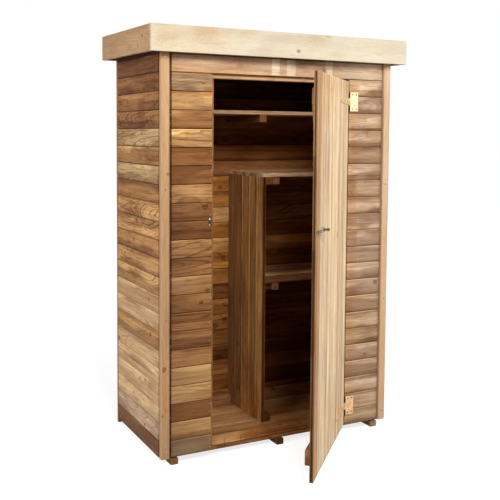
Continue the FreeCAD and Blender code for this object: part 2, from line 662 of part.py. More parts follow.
# Places of the screw holes in the hinge plate and strap, from the hinge axis.
plate_holes = [(x, z) for x in ("plate_hole_near", "plate_hole_far")
               for z in ("-plate_hole_rise", "plate_hole_rise")]
strap_holes = ["-strap_hole_near", "-strap_hole_middle", "-strap_hole_far"]
hole_radius = "screw_shank + screw_play"


def hinge_plate(name, height):
    """Upright plate on the front boards, with a knuckle above and below the strap's."""
    leaf = new_body(name + "_plate_leaf")
    sketch = new_sketch(leaf, "XZ_Plane", "-(hinge_out - leaf_thick)")
    clear = "knuckle_rad + knuckle_gap"
    inner = "strap_knuckle / 2 + knuckle_gap"
    half = "plate_high / 2"
    draw_outline(sketch, [("leaf_root", "-" + half), ("plate_wide", "-" + half), ("plate_wide", half),
                          ("leaf_root", half), ("leaf_root", inner), (clear, inner),
                          (clear, "-(%s)" % inner), ("leaf_root", "-(%s)" % inner)])
    for x, z in plate_holes:
        draw_circle(sketch, x, z, hole_radius)
    pad(leaf, sketch, "leaf_thick", backwards=True)
    knuckles = []
    for side, low in (("low", "-" + half), ("high", inner)):
        knuckle = cylinder("%s_knuckle_%s" % (name, side), "knuckle_rad", "%s - (%s)" % (half, inner))
        place(knuckle, "0", "0", low)
        knuckles.append(knuckle)
    hole = cylinder(name + "_plate_hole", "pin_rad + pin_fit", "plate_high + cut_over * 2")
    place(hole, "0", "0", "-plate_high / 2 - cut_over")
    plate = bore("hinge_plate_" + name, join(name + "_plate_solid", [leaf] + knuckles), hole)
    place(plate, "HINGE_X", "HINGE_Y", height)
    return plate


def hinge_strap(name, height):
    """Tapered strap on the door's face, with the middle knuckle."""
    leaf = new_body(name + "_strap_leaf")
    sketch = new_sketch(leaf, "XZ_Plane", "-(hinge_out - door_front - leaf_thick)")
    far = "-(strap_long - strap_tip_ease)"
    tip = "strap_tip / 2 - strap_tip_ease"
    draw_outline(sketch, [("-leaf_root", "-strap_root / 2"), ("-leaf_root", "strap_root / 2"),
                          (far, "strap_tip / 2"), ("-strap_long", tip),
                          ("-strap_long", "-(%s)" % tip), (far, "-strap_tip / 2")])
    for x in strap_holes:
        draw_circle(sketch, x, "0", hole_radius)
    pad(leaf, sketch, "leaf_thick", backwards=True)
    knuckle = cylinder(name + "_knuckle_middle", "knuckle_rad", "strap_knuckle")
    place(knuckle, "0", "0", "-strap_knuckle / 2")
    hole = cylinder(name + "_strap_hole", "pin_rad + pin_run", "strap_knuckle + cut_over * 2")
    place(hole, "0", "0", "-strap_knuckle / 2 - cut_over")
    strap = bore("hinge_strap_" + name, join(name + "_strap_solid", [leaf, knuckle]), hole)
    hang_on_door(strap, z=height)
    return strap


def hinge_pin(name, height):
    """Pin with a low riveted head at each end."""
    shaft = cylinder(name + "_pin_shaft", "pin_rad", "plate_high + leaf_thick")
    place(shaft, "0", "0", "-(plate_high + leaf_thick) / 2")
    heads = []
    for side, low in (("low", "-plate_high / 2 - leaf_thick / 2"), ("high", "plate_high / 2")):
        head = cylinder("%s_pin_head_%s" % (name, side), "knuckle_rad - 1", "leaf_thick / 2")
        place(head, "0", "0", low)
        heads.append(head)
    pin = join("hinge_pin_" + name, [shaft] + heads)
    place(pin, "HINGE_X", "HINGE_Y", height)
    return pin


for name, height in (("top", "hinge_high_z"), ("bottom", "hinge_low_z")):
    keep(hinge_plate(name, height))
    keep(hinge_strap(name, height))
    keep(hinge_pin(name, height))


# Door bolt. It is laid out with the door closed: the base plate and its two guides on
# the door's face, the bolt drawn back, and the keeper on the boards across the gap.
def slab(label, low, high):
    body = doc.addObject("Part::Box", label)
    for name, axis in (("Length", 0), ("Width", 1), ("Height", 2)):
        body.setExpression(name, bind("(%s) - (%s)" % (high[axis], low[axis])))
    place(body, *low)
    return body


def lie_along_x(piece, x, y, z):
    place(piece, x, y, z)
    turn(piece, (0, 1, 0), "90deg")


def screw_holes(label, places, side):
    """Cylinders through a thin plate, along Y, that start behind it and end in front of it."""
    holes = []
    for index, (x, z) in enumerate(places):
        hole = cylinder("%s_%d" % (label, index), hole_radius, "sheet_thick * 3")
        place(hole, x, side + " + sheet_thick", z)
        turn(hole, (1, 0, 0), "90deg")
        holes.append(hole)
    return holes


door_edge = "(DOOR_LEFT - HINGE_X)"
case_start = "(%s + case_in)" % door_edge
case_stop = "(%s + case_long)" % case_start
bolt_side = "(BOLT_Y - HINGE_Y)"
face_side = "(DOOR_FACE - HINGE_Y)"
case_screws = [(x, z) for x in (case_start + " + case_hole_in", case_stop + " - case_hole_in")
               for z in ("-case_hole_rise", "case_hole_rise")]
case_pieces = [slab("case_plate", (case_start, face_side + " - sheet_thick", "-case_high / 2"),
                    (case_stop, face_side, "case_high / 2"))]
for side, start in (("near", case_start + " + guide_in"), ("far", case_stop + " - guide_in - guide_long")):
    case_pieces.append(slab("case_guide_" + side, (start, face_side + " - guide_rise", "-guide_high / 2"),
                            (start + " + guide_long", face_side + " - sheet_thick / 2", "guide_high / 2")))
case_hole = cylinder("case_hole", "bolt_rad + bolt_play", "case_long + cut_over * 2")
lie_along_x(case_hole, case_start + " - cut_over", bolt_side, "0")
latch_case = bore("latch_case", join("case_solid", case_pieces),
                  join("case_holes", [case_hole] + screw_holes("case_screw_hole", case_screws, face_side)))
hang_on_door(latch_case, z="bolt_z")
keep(latch_case)

knob_x = "(%s - guide_in - guide_long - knob_gap - knob_rad)" % case_stop
bolt_shaft = cylinder("bolt_shaft", "bolt_rad", "bolt_long")
lie_along_x(bolt_shaft, "%s + bolt_back" % door_edge, bolt_side, "0")
knob_stem = cylinder("knob_stem", "knob_rad", "knob_long")
place(knob_stem, knob_x, bolt_side, "0")
turn(knob_stem, (1, 0, 0), "90deg")
knob_end = doc.addObject("Part::Sphere", "knob_end")
knob_end.setExpression("Radius", bind("knob_end_rad"))
place(knob_end, knob_x, bolt_side + " - knob_long", "0")
latch_bolt = join("latch_bolt", [bolt_shaft, knob_stem, knob_end])
hang_on_door(latch_bolt, z="bolt_z")
keep(latch_bolt)

keeper_right = "(WAY_LEFT - keeper_gap)"
keeper_left = "(%s - keeper_wide)" % keeper_right
keeper_middle = "(%s - keeper_wide / 2)" % keeper_right
loop_left = "(%s - guide_long / 2)" % keeper_middle
keeper_screws = [(keeper_middle, "bolt_z + " + rise) for rise in ("(-keeper_hole_rise)", "keeper_hole_rise")]
keeper_plate = slab("keeper_plate", (keeper_left, "FRONT - sheet_thick", "bolt_z - keeper_high / 2"),
                    (keeper_right, "FRONT", "bolt_z + keeper_high / 2"))
keeper_loop = slab("keeper_loop", (loop_left, "FRONT - keeper_loop_rise", "bolt_z - keeper_loop_high / 2"),
                   (loop_left + " + guide_long", "FRONT - sheet_thick / 2", "bolt_z + keeper_loop_high / 2"))
keeper_hole = cylinder("keeper_hole", "bolt_rad + keeper_play", "guide_long + cut_over * 2")
lie_along_x(keeper_hole, loop_left + " - cut_over", "BOLT_Y", "bolt_z")
keep(bore("latch_keeper", join("keeper_solid", [keeper_plate, keeper_loop]),
          join("keeper_holes", [keeper_hole] + screw_holes("keeper_screw_hole", keeper_screws, "FRONT"))))

# Screws. Each group is one node of separate solids, all alike.
doc.recompute()
number = {alias: float(sheet.get(alias)) for alias in SIZES}


def screw(head, rise, shank, length):
    """A round headed screw that points along +Y, the underside of its head at the origin."""
    body = Part.makeCylinder(shank, length, FreeCAD.Vector(0, 0, 0), FreeCAD.Vector(0, 1, 0))
    dome_rad = (head * head + rise * rise) / (2 * rise)
    dome = Part.makeSphere(dome_rad, FreeCAD.Vector(0, dome_rad - rise, 0))
    ahead = Part.makeBox(head * 4, rise * 2, head * 4, FreeCAD.Vector(-head * 2, -rise * 2, -head * 2))
    return body.fuse(dome.common(ahead)).removeSplitter()


def screw_group(label, places, places_behind=(), **sizes):
    """Screws driven in from the front, and from behind, as one node."""
    forward = screw(**sizes)
    backward = forward.copy()
    backward.rotate(FreeCAD.Vector(0, 0, 0), FreeCAD.Vector(0, 0, 1), 180)
    solids = [forward.translated(place) for place in places]
    solids += [backward.translated(place) for place in places_behind]
    group = doc.addObject("Part::Feature", label)
    group.Shape = Part.makeCompound(solids)
    return group


def solve(formula):
    """Work out one formula on a scratch cell of the sheet."""
    sheet.set("D1", "=" + re.sub(r"Sizes\.", "", bind(formula)))
    sheet.recompute()
    return float(sheet.get("D1"))


def spot(*formulas):
    return FreeCAD.Vector(*[solve(formula) for formula in formulas])


fitting = {"head": number["screw_head"], "rise": number["screw_rise"],
           "shank": number["screw_shank"], "length": number["screw_long"]}
cabinet_spots = []
door_spots = []
for height in ("hinge_high_z", "hinge_low_z"):
    for x, z in plate_holes:
        cabinet_spots.append(spot("HINGE_X + " + x, "FRONT - leaf_thick", "%s + %s" % (height, z)))
    for x in strap_holes:
        door_spots.append(spot(x, "%s - leaf_thick" % face_side, height))
for x, z in keeper_screws:
    cabinet_spots.append(spot(x, "FRONT - sheet_thick", z))
for x, z in case_screws:
    door_spots.append(spot(x, "%s - sheet_thick" % face_side, "bolt_z + " + z))
keep(screw_group("cabinet_fitting_screws", cabinet_spots, **fitting))
door_screws = screw_group("door_fitting_screws", door_spots, **{**fitting, "length": number["board_thick"]})
hang_on_door(door_screws)
keep(door_screws)

front_spots = []
back_spots = []
lowest = "FLOOR + bearer_side"
climb = "FASCIA_LOW - trim_screw_drop - (%s)" % lowest
for middle in ("LEFT + trim_wide / 2", "RIGHT - trim_wide / 2"):
    for step in range(int(number["trim_screw_count"])):
        height = "%s + (%s) * %d / (trim_screw_count - 1)" % (lowest, climb, step)
        front_spots.append(spot(middle, "INNER_FRONT - trim_thick", height))
        back_spots.append(spot(middle, "BACK + back_trim_thick", height))
keep(screw_group("trim_screws", front_spots, back_spots, head=number["trim_screw_head"],
                 rise=number["screw_rise"], shank=number["screw_shank"], length=number["trim_screw_long"]))
sheet.clear("D1")

# Check every object, then write one file for each sub-part.
doc.recompute()
for thing in doc.Objects:
    if "Invalid" in thing.State or "Error" in thing.State:
        raise RuntimeError("%s is in state %s" % (thing.Label, thing.State))
os.makedirs("parts", exist_ok=True)
for piece in parts:
    shape = piece.Shape
    if shape.isNull() or not shape.isValid() or not shape.Solids:
        raise RuntimeError(piece.Label + " has no valid solid")
    shape.exportStep("parts/%s.step" % piece.Label)
print("%d sub-parts written" % len(parts))
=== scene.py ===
# %% [markdown]
# # A garden storage cabinet
#
# The cabinet is a batten frame clad in tongue and groove pine, with a flat roof behind a
# fascia and one door that stands part open. The packed model brings every piece as a mesh in
# its own place, in metres. The lesson gives each timber its grain and colour, adds the nails,
# and sets up the floor and the light.

# %% Load the packed model
import math
import random
from functools import partialmethod

import bpy
from mathutils import Matrix, Vector


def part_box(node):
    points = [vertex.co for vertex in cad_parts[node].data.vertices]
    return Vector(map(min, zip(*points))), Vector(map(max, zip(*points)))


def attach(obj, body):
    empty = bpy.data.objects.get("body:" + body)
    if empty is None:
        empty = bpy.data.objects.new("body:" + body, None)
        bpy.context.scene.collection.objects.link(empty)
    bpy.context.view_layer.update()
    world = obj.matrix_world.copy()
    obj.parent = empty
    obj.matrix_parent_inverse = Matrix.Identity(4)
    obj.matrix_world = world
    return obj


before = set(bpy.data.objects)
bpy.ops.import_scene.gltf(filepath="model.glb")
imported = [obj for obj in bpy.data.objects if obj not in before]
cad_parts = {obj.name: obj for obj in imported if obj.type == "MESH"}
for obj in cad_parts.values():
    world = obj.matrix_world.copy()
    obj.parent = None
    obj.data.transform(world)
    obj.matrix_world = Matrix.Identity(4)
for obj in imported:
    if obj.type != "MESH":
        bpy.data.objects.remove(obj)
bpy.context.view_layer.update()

# %% [markdown]
# ## The camera
#
# The camera stands in front of the cabinet and left of it, at three quarters of its height,
# and looks slightly down. Lens shift keeps the upright lines nearly parallel. A camera that
# isn't turned looks straight down, so it is rolled first, then tipped up and turned aside.

# %% Place the camera
CAMERA_PLACE = Vector((-1.9567, -3.7430, 1.5423))
CAMERA_YAW = math.radians(27.259)
CAMERA_PITCH = math.radians(-3.854)
CAMERA_ROLL = math.radians(0.419)
LENS = 58.615
SHIFT_SIDEWAYS = 0.0037
SHIFT_DOWN = -0.1235


def new_object(name, data):
    """A new object, put into the scene."""
    made = bpy.data.objects.new(name, data)
    bpy.context.scene.collection.objects.link(made)
    return made


camera_data = bpy.data.cameras.new("camera")
camera_data.lens = LENS
camera_data.shift_x = SHIFT_SIDEWAYS
camera_data.shift_y = SHIFT_DOWN
camera = new_object("camera", camera_data)
turned = (Matrix.Rotation(-CAMERA_YAW, 4, "Z") @ Matrix.Rotation(math.pi / 2 + CAMERA_PITCH, 4, "X")
          @ Matrix.Rotation(CAMERA_ROLL, 4, "Z"))
camera.matrix_world = Matrix.Translation(CAMERA_PLACE) @ turned
bpy.context.scene.camera = camera
print("camera looks along", [round(-part, 3) for part in turned.col[2][:3]])

# %% [markdown]
# ## A bench for node trees
#
# A wood finish is a long chain of small sums, so this helper adds a node, plugs its inputs and
# hands back its output in one line. A value that is an output socket is linked, and any other
# value is set on the input.

# %% The node bench
class Bench:
    """A workbench for one node tree."""

    def __init__(self, tree):
        self.tree = tree

    def plug(self, value, socket):
        if isinstance(value, bpy.types.NodeSocket):
            self.tree.links.new(value, socket)
        else:
            socket.default_value = value

    def feed(self, sockets, values):
        for name, value in values.items():
            self.plug(value, sockets[name])

    def node(self, kind, values=None, out=0, **settings):
        node = self.tree.nodes.new(kind)
        for name, value in settings.items():
            setattr(node, name, value)
        self.feed(node.inputs, values or {})
        return node.outputs[out]

    def sum(self, operation, *values):
        return self.node("ShaderNodeMath", dict(enumerate(values)), operation=operation)

    add = partialmethod(sum, "ADD")
    subtract = partialmethod(sum, "SUBTRACT")
    times = partialmethod(sum, "MULTIPLY")
    divide = partialmethod(sum, "DIVIDE")

    def mix(self, share, first, second, how="MIX"):
        return self.node("ShaderNodeMix", {0: share, 6: first, 7: second}, out=2,
                         data_type="RGBA", blend_type=how)

    def tint(self, share, colour, factors):
        """A share of a colour, its red, green and blue each made darker or lighter."""
        return self.mix(share, colour, self.mix(1.0, colour, (*factors, 1), "MULTIPLY"))

    def between(self, value, low, high, first=0.0, last=1.0):
        """A soft step from first to last, while the value goes from low to high."""
        return self.node("ShaderNodeMapRange", {0: value, 1: low, 2: high, 3: first, 4: last},
                         interpolation_type="SMOOTHSTEP")

    def place(self):
        """Where a point lies in the part's own frame."""
        return self.node("ShaderNodeTexCoord", out="Object")

    def vector(self, along, across, through):
        return self.node("ShaderNodeCombineXYZ", {0: along, 1: across, 2: through})

    def noise(self, place, detail=2.0, roughness=0.5, scale=1.0):
        return self.node("ShaderNodeTexNoise",
                         {"Vector": place, "Scale": scale, "Detail": detail, "Roughness": roughness})

    def bump(self, height, strength, depth):
        return self.node("ShaderNodeBump", {"Height": height, "Strength": strength, "Distance": depth})

    def apart(self, value, kind="XYZ"):
        """The three parts of a vector, or of a colour."""
        return self.node("ShaderNodeSeparate" + kind, {0: value}).node.outputs

    def chances(self, number):
        """Three random numbers, each from 0 to 1, that belong to a whole number."""
        colour = self.node("ShaderNodeTexWhiteNoise", {"W": number}, out="Color", noise_dimensions="1D")
        return self.apart(colour, "Color")

    def group(self, group, values):
        return self.node("ShaderNodeGroup", values, node_tree=group).node.outputs


print("the bench can:", " ".join(word for word in vars(Bench) if not word.startswith("_")))


# %% New groups and materials, and colours as they are seen
def new_group(name, takes, gives):
    """A shader node group with named sockets: its tree, its bench, its inputs and its outputs."""
    tree = bpy.data.node_groups.new(name, "ShaderNodeTree")
    for way, labels in (("INPUT", takes), ("OUTPUT", gives)):
        for label in labels:
            kind = "Color" if label in ("Tone", "Colour") else "Float"
            tree.interface.new_socket(label, in_out=way, socket_type="NodeSocket" + kind)
    nodes = tree.nodes
    return tree, Bench(tree), nodes.new("NodeGroupInput").outputs, nodes.new("NodeGroupOutput").inputs


def new_material(name):
    """A material, its bench and the inputs of its shader."""
    material = bpy.data.materials.new(name)
    material.use_nodes = True
    return material, Bench(material.node_tree), material.node_tree.nodes["Principled BSDF"].inputs


def seen(*levels):
    """A colour as it shows on a screen, from 0 to 255, turned into the light it stands for."""
    parts = [level / 255 for level in levels]
    return (*(part / 12.92 if part <= 0.04045 else ((part + 0.055) / 1.055) ** 2.4 for part in parts), 1.0)


print("bench ready, mid grey is", round(seen(128, 128, 128)[0], 3))

# %% [markdown]
# ## Counting boards
#
# A wall is one mesh, but each of its boards came from another tree. The board's number is the
# place across the wall divided by the board width, rounded down. The rest gives the distance
# to the board's middle line and to its nearest edge.

# %% Group: board count
count_tree, bench, given, result = new_group(
    "board_count", ("Across", "First edge", "Board width"), ("Board", "From middle", "To edge"))
boards_in = bench.divide(bench.subtract(given["Across"], given["First edge"]), given["Board width"])
number = bench.sum("FLOOR", boards_in)
off_middle = bench.subtract(bench.subtract(boards_in, number), 0.5)
from_middle = bench.times(off_middle, given["Board width"])
to_edge = bench.subtract(bench.times(given["Board width"], 0.5), bench.sum("ABSOLUTE", from_middle))
bench.feed(result, {"Board": number, "From middle": from_middle, "To edge": to_edge})
print("group", count_tree.name, len(count_tree.nodes), "nodes")

# %% [markdown]
# ## Knots
#
# A knot is a branch that the saw cut across: an oval eye with a dark rim, and the rings bulge
# round it. One small group draws an eye from the distance to its middle. Most eyes are
# scattered: a one-dimensional Voronoi pattern gives each stretch of a board one place, and
# most stretches stay clear. The knots that show most on the cabinet are listed one by one.

# %% Group: an eye
EYE_SHORTER = 0.75
BULGE_REACH = 2.6
BULGE_LIFT = 2.4
EYE_PARTS = ("Knot", "Rim", "Bulge")

eye_tree, bench, given, result = new_group("eye", ("Run", "Aside", "Radius"), EYE_PARTS)
away = bench.sum("SQRT", bench.add(bench.sum("POWER", bench.times(given["Run"], EYE_SHORTER), 2),
                                   bench.sum("POWER", given["Aside"], 2)))
ratio = bench.divide(away, given["Radius"])
reach = bench.times(bench.sum("POWER", bench.divide(ratio, BULGE_REACH), 2), -1.0)
bench.feed(result, {
    "Knot": bench.between(ratio, 1.0, 0.5),
    "Rim": bench.times(bench.between(ratio, 1.45, 1.0), bench.between(ratio, 0.55, 0.9)),
    "Bulge": bench.times(bench.sum("EXPONENT", reach), bench.times(given["Radius"], BULGE_LIFT))})
print("group", eye_tree.name, len(eye_tree.nodes), "nodes")

# %% Group: knots scattered along a board
KNOT_ASIDE = 0.028
CLEAR_SHARE = 0.6
BOARD_JUMP = 17.31

knot_tree, bench, given, result = new_group(
    "knots", ("Along", "From middle", "Board", "Spacing", "Size"), EYE_PARTS)
stretch = bench.add(bench.divide(given["Along"], given["Spacing"]),
                    bench.times(given["Board"], BOARD_JUMP))
spots = bench.node("ShaderNodeTexVoronoi", {"Scale": 1.0, "Randomness": 0.8, "W": stretch},
                   voronoi_dimensions="1D").node.outputs
chance = bench.apart(spots["Color"], "Color")
eye = bench.group(eye_tree, {
    "Run": bench.times(bench.subtract(stretch, spots["W"]), given["Spacing"]),
    "Aside": bench.subtract(given["From middle"],
                            bench.between(chance[0], 0.0, 1.0, -KNOT_ASIDE, KNOT_ASIDE)),
    "Radius": bench.times(bench.between(chance[1], CLEAR_SHARE, 1.0, 0.0001, 1.0), given["Size"])})
bench.feed(result, {part: eye[part] for part in EYE_PARTS})
print("group", knot_tree.name, len(knot_tree.nodes), "nodes")

# %% [markdown]
# ## Growth rings
#
# A board is a slice of a log, and its figure is where the yearly rings meet the face. So the
# rings are made as they grew, from the distance to the heart of the log. The heart lies
# behind the face, at a place of its own for each board, and its small slant draws the pointed
# arches. Slow noise bends the rings. The outer rings are pale sapwood, so many boards are
# pale on one side of a wavy line and brown on the other. Each random draw adds a number of
# its own to the board's, so that no two draws agree.

# %% Group: growth rings
BEND = 0.045
RIPPLE = 0.005
HEART_ASIDE = 0.04
HEART_NEAR = 0.010
HEART_FAR = 0.06
BORDER_WAVE = 0.03
BORDER_SHIFT = 0.036
PALE_DOWN_SHARE = 0.25
HEART_DRAW = 3.7
SHIFT_DRAW = 41.3
FIGURE_DRAW = 91.7
YEAR_JUMP = 7.0
NOISE_JUMP = 9.0

ring_tree, bench, given, result = new_group(
    "growth_rings", ("Along", "From middle", "Through", "Board", "Ring gap", "Slant", "Bulge"),
    ("Late wood", "Fine", "Fleck", "Streak", "Blotch", "Sapwood"))
heart_side, heart_deep, heart_turn = bench.chances(bench.add(given["Board"], HEART_DRAW))
shift_one, shift_two, shift_three = bench.chances(bench.add(given["Board"], SHIFT_DRAW))


def stretched(along, across):
    """A place squeezed along the grain, moved to another part of the noise for each board."""
    return bench.vector(
        bench.sum("MULTIPLY_ADD", given["Along"], along, bench.times(shift_one, NOISE_JUMP)),
        bench.sum("MULTIPLY_ADD", given["From middle"], across, bench.times(shift_two, NOISE_JUMP)),
        bench.sum("MULTIPLY_ADD", given["Through"], across, bench.times(shift_three, NOISE_JUMP)))


print("rings take:", ", ".join(given.keys()))

# %% The rings themselves
bend = bench.times(bench.subtract(bench.noise(stretched(3.0, 11.0)), 0.5), BEND)
ripple = bench.times(bench.subtract(bench.noise(stretched(16.0, 60.0)), 0.5), RIPPLE)
side = bench.add(given["From middle"], bench.between(heart_side, 0.0, 1.0, -HEART_ASIDE, HEART_ASIDE))
slant = bench.times(bench.between(heart_turn, 0.0, 1.0, -1.0, 1.0), given["Slant"])
deep = bench.add(bench.add(given["Through"], bench.between(heart_deep, 0.0, 1.0, HEART_NEAR, HEART_FAR)),
                 bench.times(given["Along"], slant))
from_heart = bench.sum("SQRT", bench.add(bench.sum("POWER", side, 2), bench.sum("POWER", deep, 2)))
grown = bench.add(bench.add(from_heart, bend), bench.add(ripple, given["Bulge"]))
years = bench.divide(grown, given["Ring gap"])
year = bench.sum("FLOOR", years)
season = bench.subtract(years, year)
late = bench.times(bench.between(season, 0.35, 0.88), bench.between(season, 1.0, 0.92))
lean_years, _, _ = bench.chances(bench.add(year, bench.times(given["Board"], YEAR_JUMP)))
figured, _, _ = bench.chances(bench.add(given["Board"], FIGURE_DRAW))
lines = bench.times(bench.between(lean_years, 0.0, 1.0, 0.2, 1.0),
                    bench.between(figured, 0.0, 1.0, 0.4, 1.1))
bench.plug(bench.times(late, lines), result["Late wood"])
for label, along, across, roughness in (("Fine", 30.0, 900.0, 0.6), ("Fleck", 13.0, 190.0, 0.6),
                                        ("Streak", 1.6, 50.0, 0.5), ("Blotch", 4.0, 13.0, 0.5)):
    bench.plug(bench.noise(stretched(along, across), 2.0, roughness), result[label])
wavy = bench.between(bench.noise(stretched(3.4, 6.0)), 0.2, 0.8, -BORDER_WAVE, BORDER_WAVE)
border = bench.add(wavy, bench.between(shift_three, 0.0, 1.0, -BORDER_SHIFT, BORDER_SHIFT))
pale_up = bench.between(shift_two, PALE_DOWN_SHARE - 0.01, PALE_DOWN_SHARE + 0.01, -1.0, 1.0)
bench.plug(bench.between(bench.times(bench.subtract(given["From middle"], border), pale_up), -0.010, 0.010),
           result["Sapwood"])
print("group", ring_tree.name, len(ring_tree.nodes), "nodes")

# %% [markdown]
# ## Pine
#
# One group turns a place on a board and a tone into the finished wood. The tone is the
# board's average, so the early wood between the dark lines is lighter than it. Then come
# sapwood and heartwood, rings, streaks and blotches, knots, a painted highlight along the
# board's upper edge, dirt and painted shade along the joint, heavier on the board's lower
# side, and sawn sides darkened by stain and painted shade. Each of them multiplies red,
# green and blue by three factors of its own, so that it looks right on any tone. The group
# gives a colour, a roughness and a height, and the shader stays in each material.

# %% Group: pine, its knots and rings
pine_tree, bench, given, result = new_group(
    "pine",
    ("Along", "From middle", "Through", "To edge", "Board", "Ring gap", "Ring depth", "Slant",
     "Two tone", "Streaks", "Blotches", "Knot spacing", "Knot size", "Arris", "Edge reach",
     "Edge dirt", "Side stain", "Weathered", *EYE_PARTS, "Tone"),
    ("Colour", "Roughness", "Height"))
eyes = bench.group(knot_tree, {
    **{name: given[name] for name in ("Along", "From middle", "Board")},
    "Spacing": given["Knot spacing"], "Size": given["Knot size"]})
knot = bench.sum("MAXIMUM", eyes["Knot"], given["Knot"])
rim = bench.sum("MAXIMUM", eyes["Rim"], given["Rim"])
wood = bench.group(ring_tree, {
    **{name: given[name] for name in ("Along", "From middle", "Through", "Board", "Ring gap", "Slant")},
    "Bulge": bench.add(eyes["Bulge"], given["Bulge"])})
print("pine takes:", ", ".join(given.keys()))

# %% What each mark does to red, green and blue
EARLY_WOOD = (1.30, 1.36, 1.46)
SAPWOOD = (1.28, 1.30, 1.24)
HEARTWOOD = (0.70, 0.63, 0.56)
DARK_STREAK = (0.56, 0.46, 0.36)
PALE_STREAK = (1.34, 1.36, 1.30)
STAIN = (0.62, 0.50, 0.42)
FADED = (1.27, 1.31, 1.30)
FIBRE = (0.86, 0.83, 0.78)
FLECK = (0.66, 0.56, 0.46)
LATE_WOOD = (0.42, 0.30, 0.20)
KNOT_EYE = (0.66, 0.46, 0.28)
KNOT_RIM = (0.30, 0.19, 0.12)
# The next three are partly painted light: a highlight along each board's upper edge, dirt with painted
# shade along the joints, and stain with painted shade on the sawn sides.
ARRIS_HIGHLIGHT = (1.55, 1.60, 1.60)
DIRT_AND_SHADE = (0.26, 0.19, 0.14)
SAWN_SIDE_STAIN_AND_SHADE = (0.28, 0.22, 0.17)
WEATHERED = (1.22, 1.32, 1.45)
print("late wood keeps", LATE_WOOD, "of the tone")

# %% The marks of the wood
KNOT_STRENGTH = 0.9
RIM_STRENGTH = 0.75


def marked(colour, mask, amount, factors):
    return bench.tint(bench.times(mask, given[amount]), colour, factors)


colour = bench.tint(given["Ring depth"], given["Tone"], EARLY_WOOD)
colour = marked(colour, wood["Sapwood"], "Two tone", SAPWOOD)
colour = marked(colour, bench.subtract(1.0, wood["Sapwood"]), "Two tone", HEARTWOOD)
colour = bench.tint(bench.between(wood["Fine"], 0.35, 0.7), colour, FIBRE)
for mask, low, high, amount, factors in (
        ("Late wood", 0.0, 1.0, "Ring depth", LATE_WOOD), ("Fleck", 0.50, 0.66, "Ring depth", FLECK),
        ("Streak", 0.52, 0.72, "Streaks", DARK_STREAK), ("Streak", 0.48, 0.28, "Streaks", PALE_STREAK),
        ("Blotch", 0.50, 0.72, "Blotches", STAIN), ("Blotch", 0.50, 0.28, "Blotches", FADED)):
    colour = marked(colour, bench.between(wood[mask], low, high), amount, factors)
colour = bench.tint(bench.times(knot, KNOT_STRENGTH), colour, KNOT_EYE)
colour = bench.tint(bench.times(rim, RIM_STRENGTH), colour, KNOT_RIM)
print("marks drawn, pine has", len(pine_tree.nodes), "nodes so far")

# %% The marks of weather and saw, and painted light and shade
FADES_ABOVE_MIDDLE = 0.006
FADE_REACH = 0.034
ARRIS_HIGHLIGHT_WIDE = 0.0042
SIDE_FROM = 0.002
SIDE_TO = 0.016

from_faded_line = bench.sum("ABSOLUTE", bench.subtract(given["From middle"], FADES_ABOVE_MIDDLE))
bare_middle = bench.between(from_faded_line, FADE_REACH, 0.006)
weather = bench.times(bare_middle, bench.between(wood["Blotch"], 0.36, 0.54))
colour = marked(colour, weather, "Weathered", WEATHERED)
upper = bench.sum("GREATER_THAN", given["From middle"], 0.0)
# Painted highlight: a pale line along each board's upper edge, where the light catches the arris.
painted_highlight_line = bench.times(bench.between(given["To edge"], ARRIS_HIGHLIGHT_WIDE, ARRIS_HIGHLIGHT_WIDE * 0.6), upper)
colour = marked(colour, painted_highlight_line, "Arris", ARRIS_HIGHLIGHT)
# Dirt and painted shade along the joints, twice as strong on each board's lower half.
dirt_and_shade_side = bench.subtract(1.0, bench.times(upper, 0.5))
dirt = bench.times(bench.between(given["To edge"], given["Edge reach"], 0.0005), dirt_and_shade_side)
colour = marked(colour, dirt, "Edge dirt", DIRT_AND_SHADE)
# The sawn sides in the joints and on the door's free edge get stain and painted shade.
sawn = bench.times(bench.between(given["Through"], SIDE_FROM, SIDE_FROM + 0.001),
                   bench.between(given["Through"], SIDE_TO, SIDE_TO - 0.0005))
colour = marked(colour, sawn, "Side stain", SAWN_SIDE_STAIN_AND_SHADE)

DRY_ROUGHNESS = 0.52
rough = bench.add(bench.times(wood["Fine"], 0.2),
                  bench.sum("MULTIPLY_ADD", wood["Late wood"], -0.1, DRY_ROUGHNESS))
height = bench.add(bench.times(wood["Late wood"], 0.6),
                   bench.add(bench.times(wood["Fine"], 0.5), knot))
bench.feed(result, {"Colour": colour, "Roughness": rough, "Height": height})
print("group", pine_tree.name, len(pine_tree.nodes), "nodes")

# %% [markdown]
# ## Patches
#
# Laths lie between the boards when they dry, and where one lay the board stays pale. Other
# places are bleached, stained or worn, and inside the cabinet some patches are painted light
# and painted shade. A patch is a soft-edged rectangle on the wall, along and across the
# boards, and noise keeps its edge from looking ruled.

# %% Group: patch
PATCH_SIDES = ("Along from", "Along to", "Across from", "Across to")
patch_tree, bench, given, result = new_group(
    "patch", ("Along", "Across", *PATCH_SIDES, "Soft"), ("Mask",))
ragged = bench.between(bench.noise(bench.vector(given["Along"], given["Across"], 0.0), 3.0, 0.6, 90.0),
                       0.3, 0.7, -0.5, 0.5)
wander = bench.times(ragged, given["Soft"])
mask = 1.0
for label in ("Along", "Across"):
    place = bench.add(given[label], wander)
    for end, way in (("from", 1.0), ("to", -1.0)):
        inside = bench.times(bench.subtract(place, given["%s %s" % (label, end)]), way)
        fade = bench.divide(inside, given["Soft"])
        mask = bench.times(mask, bench.between(fade, -1.0, 1.0))
bench.plug(mask, result["Mask"])
print("group", patch_tree.name, len(patch_tree.nodes), "nodes")

# %% [markdown]
# ## Board tones
#
# Treated pine has every shade between cream and dark brown, and the boards were nailed up as
# they came. So each wall has a list of tone words, from its lowest, leftmost or foremost
# board on. A colour ramp with no blending turns the board's number into its tone.

